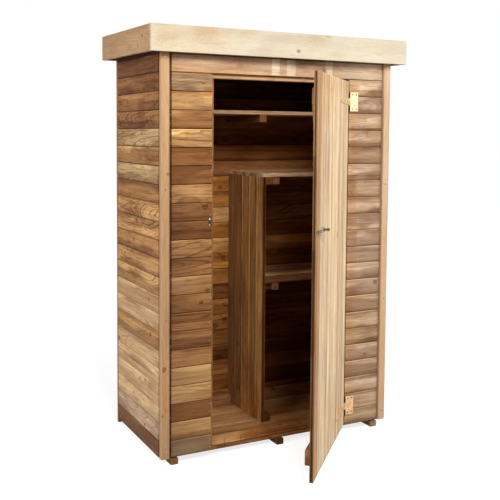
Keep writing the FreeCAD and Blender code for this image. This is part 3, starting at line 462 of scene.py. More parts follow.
# %% Tone words
LEVELS = {
    "soot": (88, 54, 32),
    "umber": (119, 78, 46),
    "russet": (131, 90, 56),
    "nut": (148, 105, 66),
    "drab": (149, 121, 92),
    "sage": (160, 130, 92),
    "honey": (168, 126, 82),
    "peat": (110, 68, 32),
    "tawny": (146, 96, 48),
    "amber": (174, 118, 58),
    "gold": (212, 158, 96),
    "wheat": (182, 142, 94),
    "sand": (170, 136, 103),
    "clay": (166, 135, 108),
    "dun": (174, 145, 121),
    "fair": (192, 154, 114),
    "straw": (206, 170, 128),
    "ash": (196, 169, 142),
    "blond": (208, 176, 142),
    "buff": (219, 191, 156),
    "cream": (224, 198, 164),
    "ivory": (208, 196, 174),
}
TONES = {word: seen(*levels) for word, levels in LEVELS.items()}
print("tones:", " ".join(TONES))

# %% What a patch does to red, green and blue
BLEACHED = (1.6, 1.7, 1.8)
BARE = (2.2, 2.8, 3.6)
TAN_CLOUD = (0.90, 0.80, 0.68)
OLIVE_CLOUD = (0.88, 0.84, 0.66)
PALE_MARK = (1.35, 1.55, 1.80)
SMOKY = (0.84, 0.84, 0.98)
TANNED = (0.84, 0.70, 0.56)
OILY = (0.55, 0.42, 0.28)
AMBER = (1.0, 0.78, 0.52)
print("an oily patch keeps", OILY, "of the tone")

# %% [markdown]
# ## The pine material
#
# Every timber gets a material of its own, with its own first edge, board width and tones, and
# one function makes them all. It works out where a point lies on its board, in metres, from
# the Object coordinates, which all pieces of the packed model share. The door is modelled
# open, so its points are first turned back to the shut door.

# %% Where a point lies on a board
HINGE_X = 0.383
HINGE_Y = -0.310
DOOR_OPEN = math.radians(46)


def third_axis(grain, across):
    """The axis that runs through the boards."""
    return ({"X", "Y", "Z"} - {grain, across}).pop()


def board_place(bench, grain, across, face, on_door):
    """Where a point lies along the grain, across the boards and below the face."""
    place = bench.place()
    if on_door:
        to_hinge = (-HINGE_X, -HINGE_Y, 0)
        from_hinge = bench.node("ShaderNodeVectorMath", {0: place, 1: to_hinge}, operation="ADD")
        place = bench.node("ShaderNodeMapping", {"Vector": from_hinge, "Rotation": (0, 0, -DOOR_OPEN)})
    parts = bench.apart(place)
    below = bench.sum("ABSOLUTE", bench.subtract(parts[third_axis(grain, across)], face))
    return parts[grain], parts[across], below


def tone_ramp(bench, board, words):
    """The tone of each board, by its number."""
    ramp = bench.tree.nodes.new("ShaderNodeValToRGB")
    ramp.color_ramp.interpolation = "CONSTANT"
    stops = ramp.color_ramp.elements
    stops.remove(stops[-1])
    stops[0].position = 0
    stops[0].color = TONES[words[0]]
    for step, word in enumerate(words[1:], 1):
        stops.new(step / len(words)).color = TONES[word]
    bench.plug(bench.divide(bench.add(board, 0.5), float(len(words))), ramp.inputs[0])
    return ramp.outputs[0]


def placed_eyes(bench, along, over, eyes):
    """The knots that are given one by one, each by its place along and across and its radius."""
    masks = {}
    for at_along, at_over, radius in eyes:
        eye = bench.group(eye_tree, {"Run": bench.subtract(along, at_along),
                                     "Aside": bench.subtract(over, at_over), "Radius": radius})
        for part in EYE_PARTS:
            masks[part] = bench.sum("MAXIMUM", masks[part], eye[part]) if part in masks else eye[part]
    return masks


print("the door stands", round(math.degrees(DOOR_OPEN)), "degrees open")

# %% The pine material
# The arris, the edge dirt and the side stain also set painted highlight and painted shade.
USUAL_LOOK = {"ring_gap": 0.0085, "ring_depth": 0.7, "slant": 0.10, "two_tone": 0.8, "streaks": 0.6,
              "blotches": 0.7, "knot_spacing": 0.5, "knot_size": 0.009, "arris": 1.0,
              "edge_reach": 0.0065, "edge_dirt": 0.9, "side_stain": 0.8, "weathered": 0.0}
CALM_SHARE = 0.6
INNER_SIDE = 0.010
DRY_GLOSS = 0.08
GRAIN_DEPTH = 0.0006


def pine(name, grain, across, face, first, width, tones, seed, on_door=False, eyes=(), patches=(),
         calm_below=None, inner_tones=None, **look):
    """A finished pine material for the boards of one wall, or for one batten.

    The grain is calmer below a height where calm_below gives one. With inner tones given,
    they and the patches belong to the inner side alone.
    """
    material, bench, finish = new_material(name)
    along, over, below = board_place(bench, grain, across, face, on_door)
    count = bench.group(count_tree, {"Across": over, "First edge": first, "Board width": width})
    feeds = {word.replace("_", " ").capitalize(): number for word, number in {**USUAL_LOOK, **look}.items()}
    feeds.update(placed_eyes(bench, along, over, eyes))
    if calm_below is not None:
        calm = bench.between(over, calm_below - 0.05, calm_below + 0.10, CALM_SHARE, 1.0)
        for word in ("Ring depth", "Two tone", "Blotches"):
            feeds[word] = bench.times(calm, feeds[word])
    tone = tone_ramp(bench, count["Board"], tones.split())
    patched = 1.0
    if inner_tones:
        patched = bench.between(below, INNER_SIDE, INNER_SIDE + 0.001)
        tone = bench.mix(patched, tone, tone_ramp(bench, count["Board"], inner_tones.split()))
    wood = bench.group(pine_tree, {
        **feeds, "Along": along, "From middle": count["From middle"], "Through": below,
        "To edge": count["To edge"], "Board": bench.add(count["Board"], float(seed)), "Tone": tone})
    colour = wood["Colour"]
    for *sides, factors, share, soft in patches:
        patch = bench.group(patch_tree, {
            "Along": along, "Across": over, "Soft": soft, **dict(zip(PATCH_SIDES, sides))})
        colour = bench.tint(bench.times(bench.times(patch["Mask"], share), patched), colour, factors)
    bench.feed(finish, {
        "Base Color": colour, "Roughness": wood["Roughness"], "Specular IOR Level": DRY_GLOSS,
        "Normal": bench.bump(wood["Height"], 0.5, GRAIN_DEPTH)})
    return material


print("pine is set by", len(USUAL_LOOK), "looks")


# %% Dressing a node
def dress(material, *names):
    """Gives the named nodes of the packed model a finish."""
    for name in names:
        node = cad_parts[name]
        if not node.material_slots:
            node.data.materials.append(material)
        for slot in node.material_slots:
            slot.material = material


def middle(name, axis):
    """The middle of a piece along one axis."""
    low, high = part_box(name)
    return (low[axis] + high[axis]) / 2


print("the left front post stands at", round(middle("post_front_left", 0), 3), "m")

# %% [markdown]
# ## The outer walls
#
# The boards of the walls lie level and are 85 mm wide, counted from a line 31 mm above the
# ground. The list of each wall reads from the bottom row up. A knot is given by its place
# along the wall, its height and its radius, and a patch by its reach along the wall and in
# height, its factors, its share and its softness. All lengths are in metres.

# %% Tones of the side walls and the back wall
LEFT_WALL = ("umber dun straw straw straw fair honey straw fair wheat honey nut honey honey russet "
             "sage honey sage russet nut umber umber soot")
LEFT_KNOTS = (
    (0.194, 0.936, 0.007), (-0.028, 0.345, 0.007), (0.061, 0.249, 0.006), (0.017, 1.113, 0.009),
    (-0.07, 1.107, 0.006), (0.063, 1.017, 0.008), (0.157, 0.959, 0.006), (-0.154, 0.758, 0.007))
LEFT_PATCHES = ((-0.103, -0.006, 1.564, 1.73, OILY, 0.5, 0.02),)
# Inside, the back wall's tones paint its light and shade: bright rows at mid height, darker rows below them
# and the darkest under the header.
BACK_INSIDE_PAINTED_SHADING = ("tawny peat tawny peat peat tawny tawny peat amber amber gold amber honey tawny amber "
               "umber peat soot umber umber soot soot soot")
BACK_WALL = ("straw honey wheat fair straw honey fair wheat fair straw honey wheat fair honey wheat "
             "honey fair wheat nut honey fair wheat honey")
# Painted shade: the inside of the back wall in the bay right of the partition, below the middle shelf, is
# darkened.
BAY_PAINTED_SHADE = ((0.02, 0.6, 0.05, 1.33, (0.42, 0.32, 0.3), 1.0, 0.004),)
RIGHT_WALL = ("drab honey fair nut honey fair nut honey honey russet honey nut fair honey nut honey "
              "russet nut honey fair nut umber nut")
print("side and back walls:", len(LEFT_WALL.split()), "rows")

# %% Tones of the front
FRONT_LEFT = ("drab honey umber wheat wheat nut russet russet russet honey russet honey umber russet honey "
              "umber umber wheat nut wheat drab")
FRONT_LEFT_KNOTS = ((-0.41, 1.2, 0.01), (-0.396, 0.809, 0.007), (-0.427, 0.754, 0.007))
FRONT_LEFT_PATCHES = (
    (-0.417, -0.376, 1.713, 1.762, AMBER, 0.8, 0.004),
    (-0.417, -0.376, 1.673, 1.711, BLEACHED, 0.4, 0.004),
    (-0.58, -0.511, 1.522, 1.55, BLEACHED, 0.6, 0.006),
    (-0.43, -0.39, 1.182, 1.218, BLEACHED, 0.5, 0.008),
    (-0.62, -0.5, 0.031, 1.3, SMOKY, 0.7, 0.05))
FRONT_RIGHT = ("drab clay dun clay dun drab clay clay dun dun dun dun dun clay clay dun clay clay "
               "clay dun clay")
FRONT_RIGHT_PATCHES = (
    (0.435, 0.579, 1.236, 1.296, BLEACHED, 0.6, 0.015),
    (0.449, 0.561, 1.762, 1.79, BLEACHED, 0.5, 0.01),
    (0.451, 0.551, 1.668, 1.704, BLEACHED, 0.5, 0.01),
    (0.496, 0.565, 1.604, 1.622, BLEACHED, 0.6, 0.008),
    (0.4495, 0.4535, 1.082, 1.11, BLEACHED, 0.5, 0.0015),
    (0.4505, 0.4545, 0.976, 1.05, BLEACHED, 0.4, 0.0015),
    (0.4525, 0.4565, 0.884, 0.926, BLEACHED, 0.5, 0.0015),
    (0.38, 0.43, 0.031, 1.8, AMBER, 0.6, 0.025))
HEADER = "ash ash"
HEADER_KNOTS = ((0.235, 1.85, 0.008),)
HEADER_PATCHES = (
    (-0.62, 0.33, 1.8, 1.838, AMBER, 0.5, 0.01),
    (-0.62, -0.17, 1.8, 1.92, TANNED, 0.8, 0.06),
    (-0.25, 0.33, 1.86, 1.92, TANNED, 0.4, 0.012),
    *((left, right, 1.822, 1.906, PALE_MARK, 1.0, 0.003)
      for left, right in ((-0.062, -0.02), (0.021, 0.069), (0.241, 0.282))),
    (-0.25, -0.215, 1.85, 1.866, OILY, 0.4, 0.008))
print("front:", len(FRONT_LEFT.split()), "rows beside the door,", len(HEADER.split()), "above it")

# %% Dress the walls
BOARD = 0.085
ROW_ZERO = 0.031
FRONT_ROWS = 21
HEADER_ROWS = 2
SIDE_ROWS = 22
HEADER_LOW = ROW_ZERO + FRONT_ROWS * BOARD
SIDE_FACE = 0.630
FRONT_FACE = -0.305
BACK_FACE = 0.305


def level_boards(name, grain, face, tones, seed, low=ROW_ZERO, **look):
    """Dresses the level boards of one wall."""
    dress(pine(name + "_pine", grain, "Z", face, low, BOARD, tones, seed, **{"side_stain": 0.35, **look}),
          name + "_boards")


level_boards("left_wall", "Y", -SIDE_FACE, LEFT_WALL, 100, eyes=LEFT_KNOTS, patches=LEFT_PATCHES,
             ring_gap=0.0075, ring_depth=1.0, two_tone=0.8, streaks=0.8, calm_below=0.80)
level_boards("right_wall", "Y", SIDE_FACE, RIGHT_WALL, 200)
level_boards("back_wall", "X", BACK_FACE, BACK_WALL, 300, inner_tones=BACK_INSIDE_PAINTED_SHADING, patches=BAY_PAINTED_SHADE)
level_boards("front_left", "X", FRONT_FACE, FRONT_LEFT, 400, eyes=FRONT_LEFT_KNOTS,
             patches=FRONT_LEFT_PATCHES, two_tone=0.6, streaks=0.8, weathered=0.2, calm_below=0.45)
# The right panel gets a wide band of dirt and painted shade along its joints, and a strong painted
# highlight.
level_boards("front_right", "X", FRONT_FACE, FRONT_RIGHT, 500, patches=FRONT_RIGHT_PATCHES,
             two_tone=0.8, edge_reach=0.018, edge_dirt=0.45, arris=1.3, ring_depth=0.5, weathered=1.0)
level_boards("header", "X", FRONT_FACE, HEADER, 600, low=HEADER_LOW, eyes=HEADER_KNOTS,
             patches=HEADER_PATCHES, two_tone=0.4, ring_depth=0.5)
print("materials so far:", len(bpy.data.materials))

# %% [markdown]
# ## Battens, posts and trims
#
# Every batten is one piece of wood, so it counts as a wall with a single board that is wider
# than the batten. Its heart still lies near, so the ends show the curved rings.

# %% Dress the single timbers
WIDE = 0.2


def batten(name, grain, across, tones, seed, *nodes, **look):
    """One finish for each named timber, each cut from another part of the wood."""
    for step, node in enumerate(nodes):
        over = middle(node, "XYZ".index(across)) - WIDE / 2
        face = middle(node, "XYZ".index(third_axis(grain, across)))
        finish = pine(name + "_" + node, grain, across, face, over, WIDE, tones, seed + step,
                      **{"side_stain": 0.0, "two_tone": 0.3, **look})
        dress(finish, node)


TRIM_LOOK = {"ring_depth": 0.18, "streaks": 0.25, "blotches": 0.15, "two_tone": 0.1, "knot_spacing": 0.9,
             "knot_size": 0.006}
TRIM_KNOT = ((0.46, -0.616, 0.008),)
TRIM_PATCHES = ((0.23, 0.44, -0.616, -0.604, AMBER, 0.8, 0.006),)
RIGHT_TRIM_PATCHES = ((0.03, 1.0, 0.54, 0.66, TANNED, 0.5, 0.15),)
batten("trim", "Z", "X", "fair", 700, "corner_trim_left", eyes=TRIM_KNOT, patches=TRIM_PATCHES, **TRIM_LOOK)
batten("trim", "Z", "X", "blond", 705, "corner_trim_right", patches=RIGHT_TRIM_PATCHES, **TRIM_LOOK)
batten("trim", "Z", "X", "nut", 710, "back_corner_trims")
batten("post", "Z", "X", "nut", 720, "post_front_left", "post_front_right", "post_back_left",
       "post_back_right")
batten("jamb", "Z", "X", "nut", 730, "jamb_left", "jamb_right")
batten("rail", "X", "Z", "nut", 740, "rail_front", "rail_back", "back_foot_battens")
batten("lintel", "X", "Z", "fair", 750, "lintel", ring_depth=0.4)
batten("bearer", "Y", "X", "russet", 760, "bearer_left")
batten("bearer", "Y", "X", "drab", 762, "bearer_right")
batten("bearer", "Y", "X", "soot", 763, "bearer_center")
# The foot cleat has the darkest tone, as painted shade at the partition's foot.
batten("foot_cleat", "Y", "Z", "soot", 779, "partition_foot_cleat")
batten("cleat", "Y", "Z", "umber", 780, "top_shelf_batten", "top_shelf_cleat_left",
       "top_shelf_cleat_right", "middle_shelf_cleat_left", "middle_shelf_batten",
       "middle_shelf_cleat_right", "lower_shelf_cleat_left", "lower_shelf_batten",
       "lower_shelf_cleat_right")
batten("fascia_back", "X", "Z", "nut", 805, "fascia_back")
print("materials so far:", len(bpy.data.materials))

# %% [markdown]
# The threshold carries three dark ticks, a board's width apart, it darkens to the right, and a band of dirt
# and painted shade runs along its foot.
# The fascia is pale and has broad tan clouds in it.

# %% Dress the threshold and the fascia
TICKS = (-0.295, -0.209, -0.124)
TICK_HALF = 0.003
THRESHOLD_PATCHES = [(tick - TICK_HALF, tick + TICK_HALF, 0.048, 0.078, STAIN, 0.7, 0.002)
                     for tick in TICKS]
THRESHOLD_PATCHES += [
    (-0.18, 0.4, 0.04, 0.1, TANNED, 0.9, 0.03),
    (-0.4, 0.4, 0.04, 0.1, AMBER, 0.8, 0.01),
    (-0.21, 0.4, 0.04, 0.1, OILY, 0.7, 0.03),
    (-0.08, 0.4, 0.04, 0.1, OILY, 0.8, 0.03),
    # The last patch is dirt with painted shade along the foot of the threshold, where it meets the floor.
    (-0.4, 0.4, 0.04, 0.0535, DIRT_AND_SHADE, 1.0, 0.001)]
batten("threshold", "X", "Z", "straw", 770, "threshold_strip", ring_depth=0.4, patches=THRESHOLD_PATCHES)
batten("fascia_side", "Y", "Z", "sand", 800, "fascia_left", "fascia_right", ring_depth=0.3, streaks=0.25,
       blotches=0.2, knot_spacing=0.5, knot_size=0.008)
FASCIA_PATCHES = (
    (-0.7, -0.3, 1.88, 2.04, TAN_CLOUD, 0.5, 0.06),
    (-0.67, -0.57, 1.94, 1.98, TAN_CLOUD, 0.9, 0.03),
    (-0.48, -0.38, 1.97, 2.04, TAN_CLOUD, 1.2, 0.035),
    (-0.26, -0.19, 1.99, 2.04, TAN_CLOUD, 0.9, 0.03),
    (0.12, 0.22, 1.97, 2.02, OLIVE_CLOUD, 0.8, 0.03),
    (0.205, 0.235, 2.012, 2.022, OLIVE_CLOUD, 2.4, 0.005),
    (0.5, 0.55, 1.94, 1.95, OLIVE_CLOUD, 0.8, 0.008))
FASCIA_KNOT = ((0.052, 1.936, 0.0065),)
batten("fascia_front", "X", "Z", "ivory", 810, "fascia_front", eyes=FASCIA_KNOT, ring_depth=0.08,
       streaks=0.05, blotches=0.25, two_tone=0.1, knot_size=0.0005, patches=FASCIA_PATCHES)
print("materials so far:", len(bpy.data.materials))

# %% [markdown]
# ## Floor, shelves, partition and roof deck
#
# Each row of planks gets its own board width and first edge, read from the packed model's
# boxes. The boards of the partition stand upright.

# %% Dress the inside
def planks(name, node, grain, across, face_side, count, gap, tones, seed, **look):
    """A finish for a row of planks whose width follows from the node's box."""
    low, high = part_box(node)
    axis = "XYZ".index(across)
    corner = low if face_side == "low" else high
    width = (high[axis] - low[axis] + gap) / count
    face = corner["XYZ".index(third_axis(grain, across))]
    dress(pine(name, grain, across, face, low[axis] - gap / 2, width, tones, seed,
               **{"side_stain": 0.0, "arris": 0.0, **look}), node)


PLANK_GAP = 0.0025
# Three of the floor's patches are painted light and shade: paler left of the partition, where light falls
# in through the door, and darker in the bay to its right.
FLOOR_PATCHES_AND_PAINTED_LIGHT = (
    (-0.1, 0.6, -0.3, -0.2885, TANNED, 0.9, 0.0005),
    (-0.6, -0.01, -0.06, 0.12, BLEACHED, 0.9, 0.03),
    (-0.6, -0.01, 0.12, 0.3, BLEACHED, 0.5, 0.03),
    (0.08, 0.6, -0.2, 0.05, TANNED, 0.8, 0.05))
planks("floor_pine", "floor_boards", "X", "Y", "high", 6, PLANK_GAP, "nut honey honey nut honey nut", 820,
       edge_dirt=0.15, ring_depth=0.5, two_tone=0.4, patches=FLOOR_PATCHES_AND_PAINTED_LIGHT)
for shelf, tones, seed, dirt in (("top_shelf", "blond honey fair nut", 830, 0.2),
                                 ("middle_shelf", "blond straw fair straw", 840, 0.2),
                                 ("lower_shelf", "russet straw honey dun", 850, 0.3)):
    planks(shelf + "_pine", shelf + "_boards", "X", "Y", "high", 4, PLANK_GAP, tones, seed, edge_dirt=dirt)
planks("partition_pine", "partition_boards", "Z", "Y", "low", 5, 0.0, "gold gold gold honey honey", 860,
       side_stain=1.0, two_tone=0.3)
planks("deck_pine", "roof_deck_boards", "X", "Y", "high", 8, 0.0,
       "nut honey nut russet nut honey nut nut", 870)
print("materials so far:", len(bpy.data.materials))

# %% [markdown]
# ## The door
#
# The door is clad in pale upright boards, counted from its free edge on the shut door. Their
# pattern belongs to the boards, so it turns with the door.

# %% Dress the door
DOOR_FREE_EDGE = -0.750
DOOR_SIDE = DOOR_FREE_EDGE + 0.0003
DOOR_FACE = 0.0045
DOOR_BOARDS = "fair cream cream buff buff cream buff cream buff"
DOOR_PATCHES = (
    (1.6, 1.82, -0.665, -0.48, TANNED, 0.7, 0.05),
    (1.74, 1.82, -0.76, 0.0, TANNED, 0.4, 0.04),
    (0.03, 0.33, -0.76, -0.01, TANNED, 0.15, 0.08),
    (0.03, 1.1, -0.76, -0.665, TANNED, 0.4, 0.03),
    (0.03, 1.4, DOOR_SIDE, -0.738, OILY, 0.6, 0.0002),
    (1.4, 1.82, DOOR_SIDE, -0.738, TANNED, 0.4, 0.0002),
    *((low, high, -0.76, DOOR_SIDE, factors, 1.0, 0.0001) for low, high, factors in (
        (1.45, 1.82, BARE), (1.05, 1.45, BLEACHED), (0.28, 0.6, BLEACHED), (0.02, 0.28, BARE))))
dress(pine("door_pine", "Z", "X", DOOR_FACE, DOOR_FREE_EDGE, BOARD, DOOR_BOARDS, 900, on_door=True,
           ring_depth=0.35, ring_gap=0.010, streaks=0.95, blotches=0.2, slant=0.04, arris=0.7,
           edge_dirt=0.5, side_stain=1.0, two_tone=0.3, patches=DOOR_PATCHES), "door_boards")
dress(pine("ledge_pine_top", "X", "Z", 0.0, 1.605, WIDE, "nut", 920, on_door=True), "door_ledge_top")
dress(pine("ledge_pine_bottom", "X", "Z", 0.0, 0.040, WIDE, "russet", 921, on_door=True),
      "door_ledge_bottom")
dress(pine("brace_pine", "Z", "X", 0.0, -0.45, 1.0, "nut", 922, on_door=True), "door_brace")
print("door dressed:", len(DOOR_BOARDS.split()), "boards")

# %% [markdown]
# ## Metal and felt
#
# The hinges are thinly plated with yellow zinc, and the latch and the screws have dulled
# outdoors. All are one kind of finish: a metal shader whose colour and roughness wander a
# little, as a plated surface does.

# %% A plated metal
def plated(name, bright, dull, roughness=0.4, metallic=0.4):
    """A plated metal on the piece of that name, or on the top and bottom piece of a pair."""
    material, bench, finish = new_material(name)
    place = bench.place()
    cloud = bench.noise(place, 4.0, 0.5, 60.0)
    speck = bench.noise(place, 2.0, 0.5, 900.0)
    colour = bench.mix(bench.between(cloud, 0.35, 0.65), seen(*bright), seen(*dull))
    rough = bench.sum("MULTIPLY_ADD", speck, 0.2, roughness)
    bench.feed(finish, {"Metallic": metallic, "Base Color": colour, "Roughness": rough,
                        "Normal": bench.bump(speck, 0.3, 0.0002)})
    dress(material, *(node for node in (name, name + "_top", name + "_bottom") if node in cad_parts))
    return material


def past(material, axis, start, end, levels):
    """Gives a plated material another colour past a place along one axis."""
    bench = Bench(material.node_tree)
    split = bench.tree.nodes.new("ShaderNodeSeparateXYZ")
    bench.plug(bench.place(), split.inputs[0])
    base = material.node_tree.nodes["Principled BSDF"].inputs["Base Color"]
    painted = base.links[0].from_socket
    bench.plug(bench.mix(bench.between(split.outputs[axis], start, end), painted, seen(*levels)), base)


nail_steel = plated("nail_steel", (206, 184, 146), (176, 150, 112), 0.35)
print("nail steel has", len(nail_steel.node_tree.nodes), "nodes")

# %% Metal finishes
# Past the barrel edge each hinge plate is painted dark, as the shade on its barrel.
BARREL_SHADE_EDGE = 0.3885
for plate in (plated("hinge_plate_top", (236, 216, 180), (218, 194, 154)),
              plated("hinge_plate_bottom", (238, 197, 152), (212, 169, 122))):
    past(plate, "X", BARREL_SHADE_EDGE, BARREL_SHADE_EDGE - 0.001, (52, 40, 28))
plated("hinge_strap", (218, 186, 140), (200, 166, 122))
plated("hinge_pin", (120, 104, 76), (84, 70, 50))
plated("latch_case", (214, 206, 182), (168, 158, 132))
plated("latch_bolt", (112, 96, 70), (84, 70, 52), 0.3)
plated("latch_keeper", (92, 70, 48), (70, 52, 36), 0.45, 0.1)
plated("door_fitting_screws", (130, 112, 86), (96, 82, 62))
# The keeper's screws are painted bright, as a glint.
past(plated("cabinet_fitting_screws", (130, 112, 86), (96, 82, 62)), "X", -0.30, -0.35, (244, 232, 206))
past(plated("trim_screws", (170, 132, 84), (142, 108, 66), 0.35), "Z", 1.80, 1.81, (236, 190, 110))
print("metals dressed")

# %% [markdown]
# The felt is a mat of fine mineral grains on bitumen. The grains could be scattered as meshes,
# but there are millions of them, so a Voronoi pattern gives each its own shade and height.

# %% Roofing felt
felt, bench, finish = new_material("roofing_felt")
place = bench.place()
grains = bench.node("ShaderNodeTexVoronoi", {"Scale": 700.0, "Vector": place}).node.outputs
cloud = bench.noise(place, 5.0, 0.5, 6.0)
speckle = bench.mix(0.35, seen(74, 80, 74), grains["Color"])
colour = bench.mix(bench.between(cloud, 0.3, 0.7),
                   bench.mix(1.0, speckle, seen(120, 126, 116), "MULTIPLY"),
                   bench.mix(1.0, speckle, seen(160, 164, 150), "MULTIPLY"))
bench.feed(finish, {"Base Color": colour, "Roughness": 0.9,
                    "Normal": bench.bump(grains["Distance"], 0.7, 0.001)})
dress(felt, "roof_felt")
print("felt has", len(felt.node_tree.nodes), "nodes, materials so far:", len(bpy.data.materials))

# %% [markdown]
# ## Nails
#
# Two nails hold every board at every post and jamb. They are too many to place by hand and all
# alike, so Geometry Nodes makes them: a mesh of points says where the nails are and which way
# they face, and the tree puts a small head on each point.

# %% Nail head tree
nail_tree = bpy.data.node_groups.new("nail_heads", "GeometryNodeTree")
for label, kind, usual in (("Points", "Geometry", None), ("Head radius", "Float", 0.0022),
                           ("Head height", "Float", 0.0006), ("Size spread", "Float", 0.15),
                           ("Seed", "Int", 7), ("Finish", "Material", None)):
    socket = nail_tree.interface.new_socket(label, in_out="INPUT", socket_type="NodeSocket" + kind)
    if usual is not None:
        socket.default_value = usual
nail_tree.interface.new_socket("Heads", in_out="OUTPUT", socket_type="NodeSocketGeometry")
bench = Bench(nail_tree)
given = nail_tree.nodes.new("NodeGroupInput").outputs
result = nail_tree.nodes.new("NodeGroupOutput").inputs
head = bench.node("GeometryNodeMeshCone", {
    "Vertices": 10, "Radius Bottom": given["Head radius"],
    "Radius Top": bench.times(given["Head radius"], 0.6), "Depth": given["Head height"]})
facing = bench.node("GeometryNodeInputNamedAttribute", {"Name": "facing"}, data_type="FLOAT_VECTOR")
turned = bench.node("FunctionNodeAlignRotationToVector", {"Vector": facing}, axis="Z")
smallest = bench.subtract(1.0, given["Size spread"])
size = bench.node("FunctionNodeRandomValue", {"Seed": given["Seed"], 2: smallest, 3: 1.0}, out=1,
                  data_type="FLOAT")
placed = bench.node("GeometryNodeInstanceOnPoints", {
    "Points": given["Points"], "Instance": head, "Rotation": turned, "Scale": size})
real = bench.node("GeometryNodeRealizeInstances", {"Geometry": placed})
painted = bench.node("GeometryNodeSetMaterial", {"Geometry": real, "Material": given["Finish"]})
bench.plug(painted, result["Heads"])
print("tree", nail_tree.name, len(nail_tree.nodes), "nodes")

# %% [markdown]
# The places follow the frame, with two nails a board. A nailer's hand wanders, so each nail is
# a few millimetres off its line, and one in five is sunk so deep that it doesn't show.

# %% Nail places
hand = random.Random(11)
NAIL_STRAY = 0.004
NAIL_PAIR = 0.019
SUNK_SHARE = 0.2
PROUD = 0.0002


def nail_line(start, step, count, facing, pair):
    """Two nails a board, on each of count boards, from the middle of the first board on."""
    spots = []
    facing = Vector(facing)
    for row in range(count):
        for way in (-1, 1):
            stray = Vector([hand.uniform(-1, 1) * NAIL_STRAY for _ in range(3)])
            flat = stray - facing * stray.dot(facing)
            if hand.random() > SUNK_SHARE:
                spot = Vector(start) + Vector(step) * row + Vector(pair) * way + flat
                spots.append((spot + facing * PROUD, facing))
    return spots


def make_nails(name, places, body):
    """One mesh of nail heads for one body."""
    mesh = bpy.data.meshes.new(name + "_points")
    mesh.from_pydata([place for place, _ in places], [], [])
    facing = mesh.attributes.new("facing", "FLOAT_VECTOR", "POINT")
    for value, (_, way) in zip(facing.data, places):
        value.vector = way
    points = new_object(name + "_points", mesh)
    modifier = points.modifiers.new("nail heads", "NODES")
    modifier.node_group = nail_tree
    modifier[nail_tree.interface.items_tree["Finish"].identifier] = nail_steel
    grown = points.evaluated_get(bpy.context.evaluated_depsgraph_get())
    heads = bpy.data.meshes.new_from_object(grown)
    heads.name = name
    nails = new_object(name, heads)
    bpy.data.objects.remove(points)
    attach(nails, body)
    print(name, "nails:", len(places), "faces:", len(heads.polygons))


print("nails sit within", NAIL_STRAY, "m of their line")

# %% [markdown]
# The walls are nailed to the posts, the jambs and the lintel, and the fascia to the ends of
# the side fascias.

# %% Nails in the walls
FRONT_POSTS = (middle("post_front_left", 0), -0.381, 0.39, 0.57)
HEADER_NAILS = (-0.56, -0.3, 0.0, 0.3, 0.56)
SIDE_POSTS = (-0.262, 0.275)
BACK_POST = 0.6
FASCIA_FACE = -0.361
FASCIA_END = 0.684
up_pair = (0, 0, NAIL_PAIR)
row_step = (0, 0, BOARD)
first_row = ROW_ZERO + BOARD / 2
forward = (0, -1, 0)
places = []
for x in FRONT_POSTS:
    places += nail_line((x, FRONT_FACE, first_row), row_step, FRONT_ROWS, forward, up_pair)
for x in HEADER_NAILS:
    places += nail_line((x, FRONT_FACE, HEADER_LOW + BOARD / 2), row_step, HEADER_ROWS, forward, up_pair)
for side in (-1, 1):
    for y in SIDE_POSTS:
        places += nail_line((side * SIDE_FACE, y, first_row), row_step, SIDE_ROWS, (side, 0, 0), up_pair)
    places += nail_line((side * BACK_POST, BACK_FACE, first_row), row_step, SIDE_ROWS, (0, 1, 0), up_pair)
for x in (-FASCIA_END, FASCIA_END):
    for z in (1.930, 1.992):
        places.append((Vector((x, FASCIA_FACE - PROUD, z)), Vector(forward)))
make_nails("wall_nails", places, "cabinet")

# %% [markdown]
# The door's boards are nailed to its two ledges. Their places are laid out on the shut door
# and turned with it.

# %% Nails in the door
WHOLE_BOARDS = 8
hinge = Vector((HINGE_X, HINGE_Y, 0))
opened = Matrix.Rotation(DOOR_OPEN, 3, "Z")
door_out = opened @ Vector((0, -1, 0))
across_board = opened @ Vector((NAIL_PAIR, 0, 0))
places = []
for ledge in ("door_ledge_top", "door_ledge_bottom"):
    start = hinge + opened @ Vector((DOOR_FREE_EDGE + BOARD / 2, DOOR_FACE, middle(ledge, 2)))
    places += nail_line(start, opened @ Vector((BOARD, 0, 0)), WHOLE_BOARDS, door_out, across_board)
make_nails("door_nails", places, "door")

# %% [markdown]
# ## Floor and light
#
# A studio: a pale floor, one lamp high in front, and a larger one at each side. The world is
# dim for the object and white for the camera and for reflections, so the backdrop is white
# while the inside of the cabinet stays dark. The floor is lifted in the same way, more towards
# its far rim, so that it keeps the cabinet's shadow and meets the backdrop without a line.

# %% The world
WORLD_LIGHT = 0.10
WHITE = (1, 1, 1, 1)


def camera_and_mirrors(bench):
    """1 for rays that show a backdrop directly, in a mirror or through glass, and 0 for light."""
    rays = bench.tree.nodes.new("ShaderNodeLightPath").outputs
    return bench.sum("MAXIMUM", rays["Is Camera Ray"],
                     bench.sum("MAXIMUM", rays["Is Glossy Ray"], rays["Is Transmission Ray"]))


world = bpy.data.worlds.new("studio")
world.use_nodes = True
bpy.context.scene.world = world
bench = Bench(world.node_tree)
strength = bench.sum("MAXIMUM", camera_and_mirrors(bench), WORLD_LIGHT)
bench.feed(world.node_tree.nodes["Background"].inputs, {"Color": WHITE, "Strength": strength})
print("the world gives", WORLD_LIGHT, "of its light")

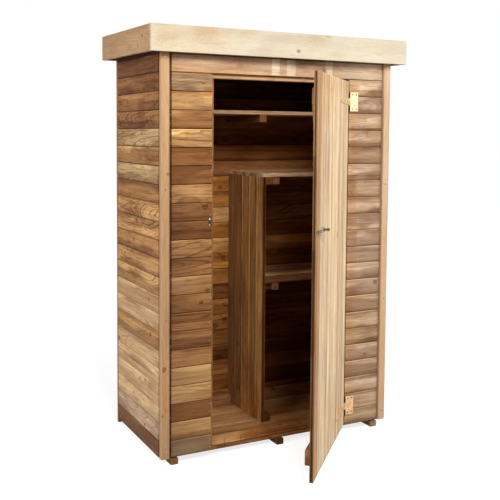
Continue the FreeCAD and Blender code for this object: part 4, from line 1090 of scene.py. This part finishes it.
# %% The paper floor
FLOOR_RADIUS = 14.0
FLOOR_SIDES = 48
PAPER_GREY = (0.45, 0.45, 0.45, 1)
NEAR_LIFT = 0.78
FAR_LIFT = 1.0
LIFT_FROM = 1.2
LIFT_TO = 5.0

turns = [math.tau * step / FLOOR_SIDES for step in range(FLOOR_SIDES)]
rim = [(FLOOR_RADIUS * math.cos(turn), FLOOR_RADIUS * math.sin(turn), 0) for turn in turns]
floor_mesh = bpy.data.meshes.new("studio_floor")
floor_mesh.from_pydata(rim, [], [range(FLOOR_SIDES)])
floor = new_object("studio_floor", floor_mesh)
paper, bench, finish = new_material("studio_paper")
from_middle = bench.node("ShaderNodeVectorMath", {0: bench.place()}, out=1, operation="LENGTH")
lift = bench.between(from_middle, LIFT_FROM, LIFT_TO, NEAR_LIFT, FAR_LIFT)
bench.feed(finish, {
    "Base Color": PAPER_GREY, "Roughness": 0.9, "Specular IOR Level": 0.1, "Emission Color": WHITE,
    "Emission Strength": bench.times(camera_and_mirrors(bench), lift)})
floor_mesh.materials.append(paper)
print("the floor reaches", FLOOR_RADIUS, "m")

# %% Lamps
LOOKED_AT = Vector((0, -0.1, 1.0))
LAMPS_OFF = 4.6


def softbox(name, azimuth, elevation, size, power):
    """A square lamp that looks at the cabinet. Azimuth 0 is in front, and the left is below 0."""
    turn = math.radians(azimuth)
    rise = math.radians(elevation)
    way = Vector((math.sin(turn) * math.cos(rise), -math.cos(turn) * math.cos(rise), math.sin(rise)))
    lamp = bpy.data.lights.new(name, "AREA")
    lamp.size = size
    lamp.energy = power
    holder = new_object(name, lamp)
    holder.location = LOOKED_AT + way * LAMPS_OFF
    holder.rotation_euler = way.to_track_quat("Z", "Y").to_euler()
    holder.visible_camera = False


softbox("front_lamp", -14, 36, 1.2, 150)
softbox("left_lamp", -72, 24, 2.2, 138)
softbox("right_lamp", 58, 26, 2.2, 116)
bpy.context.scene.view_settings.view_transform = "Standard"
print("lamps:", [light.name for light in bpy.data.lights])

# %% [markdown]
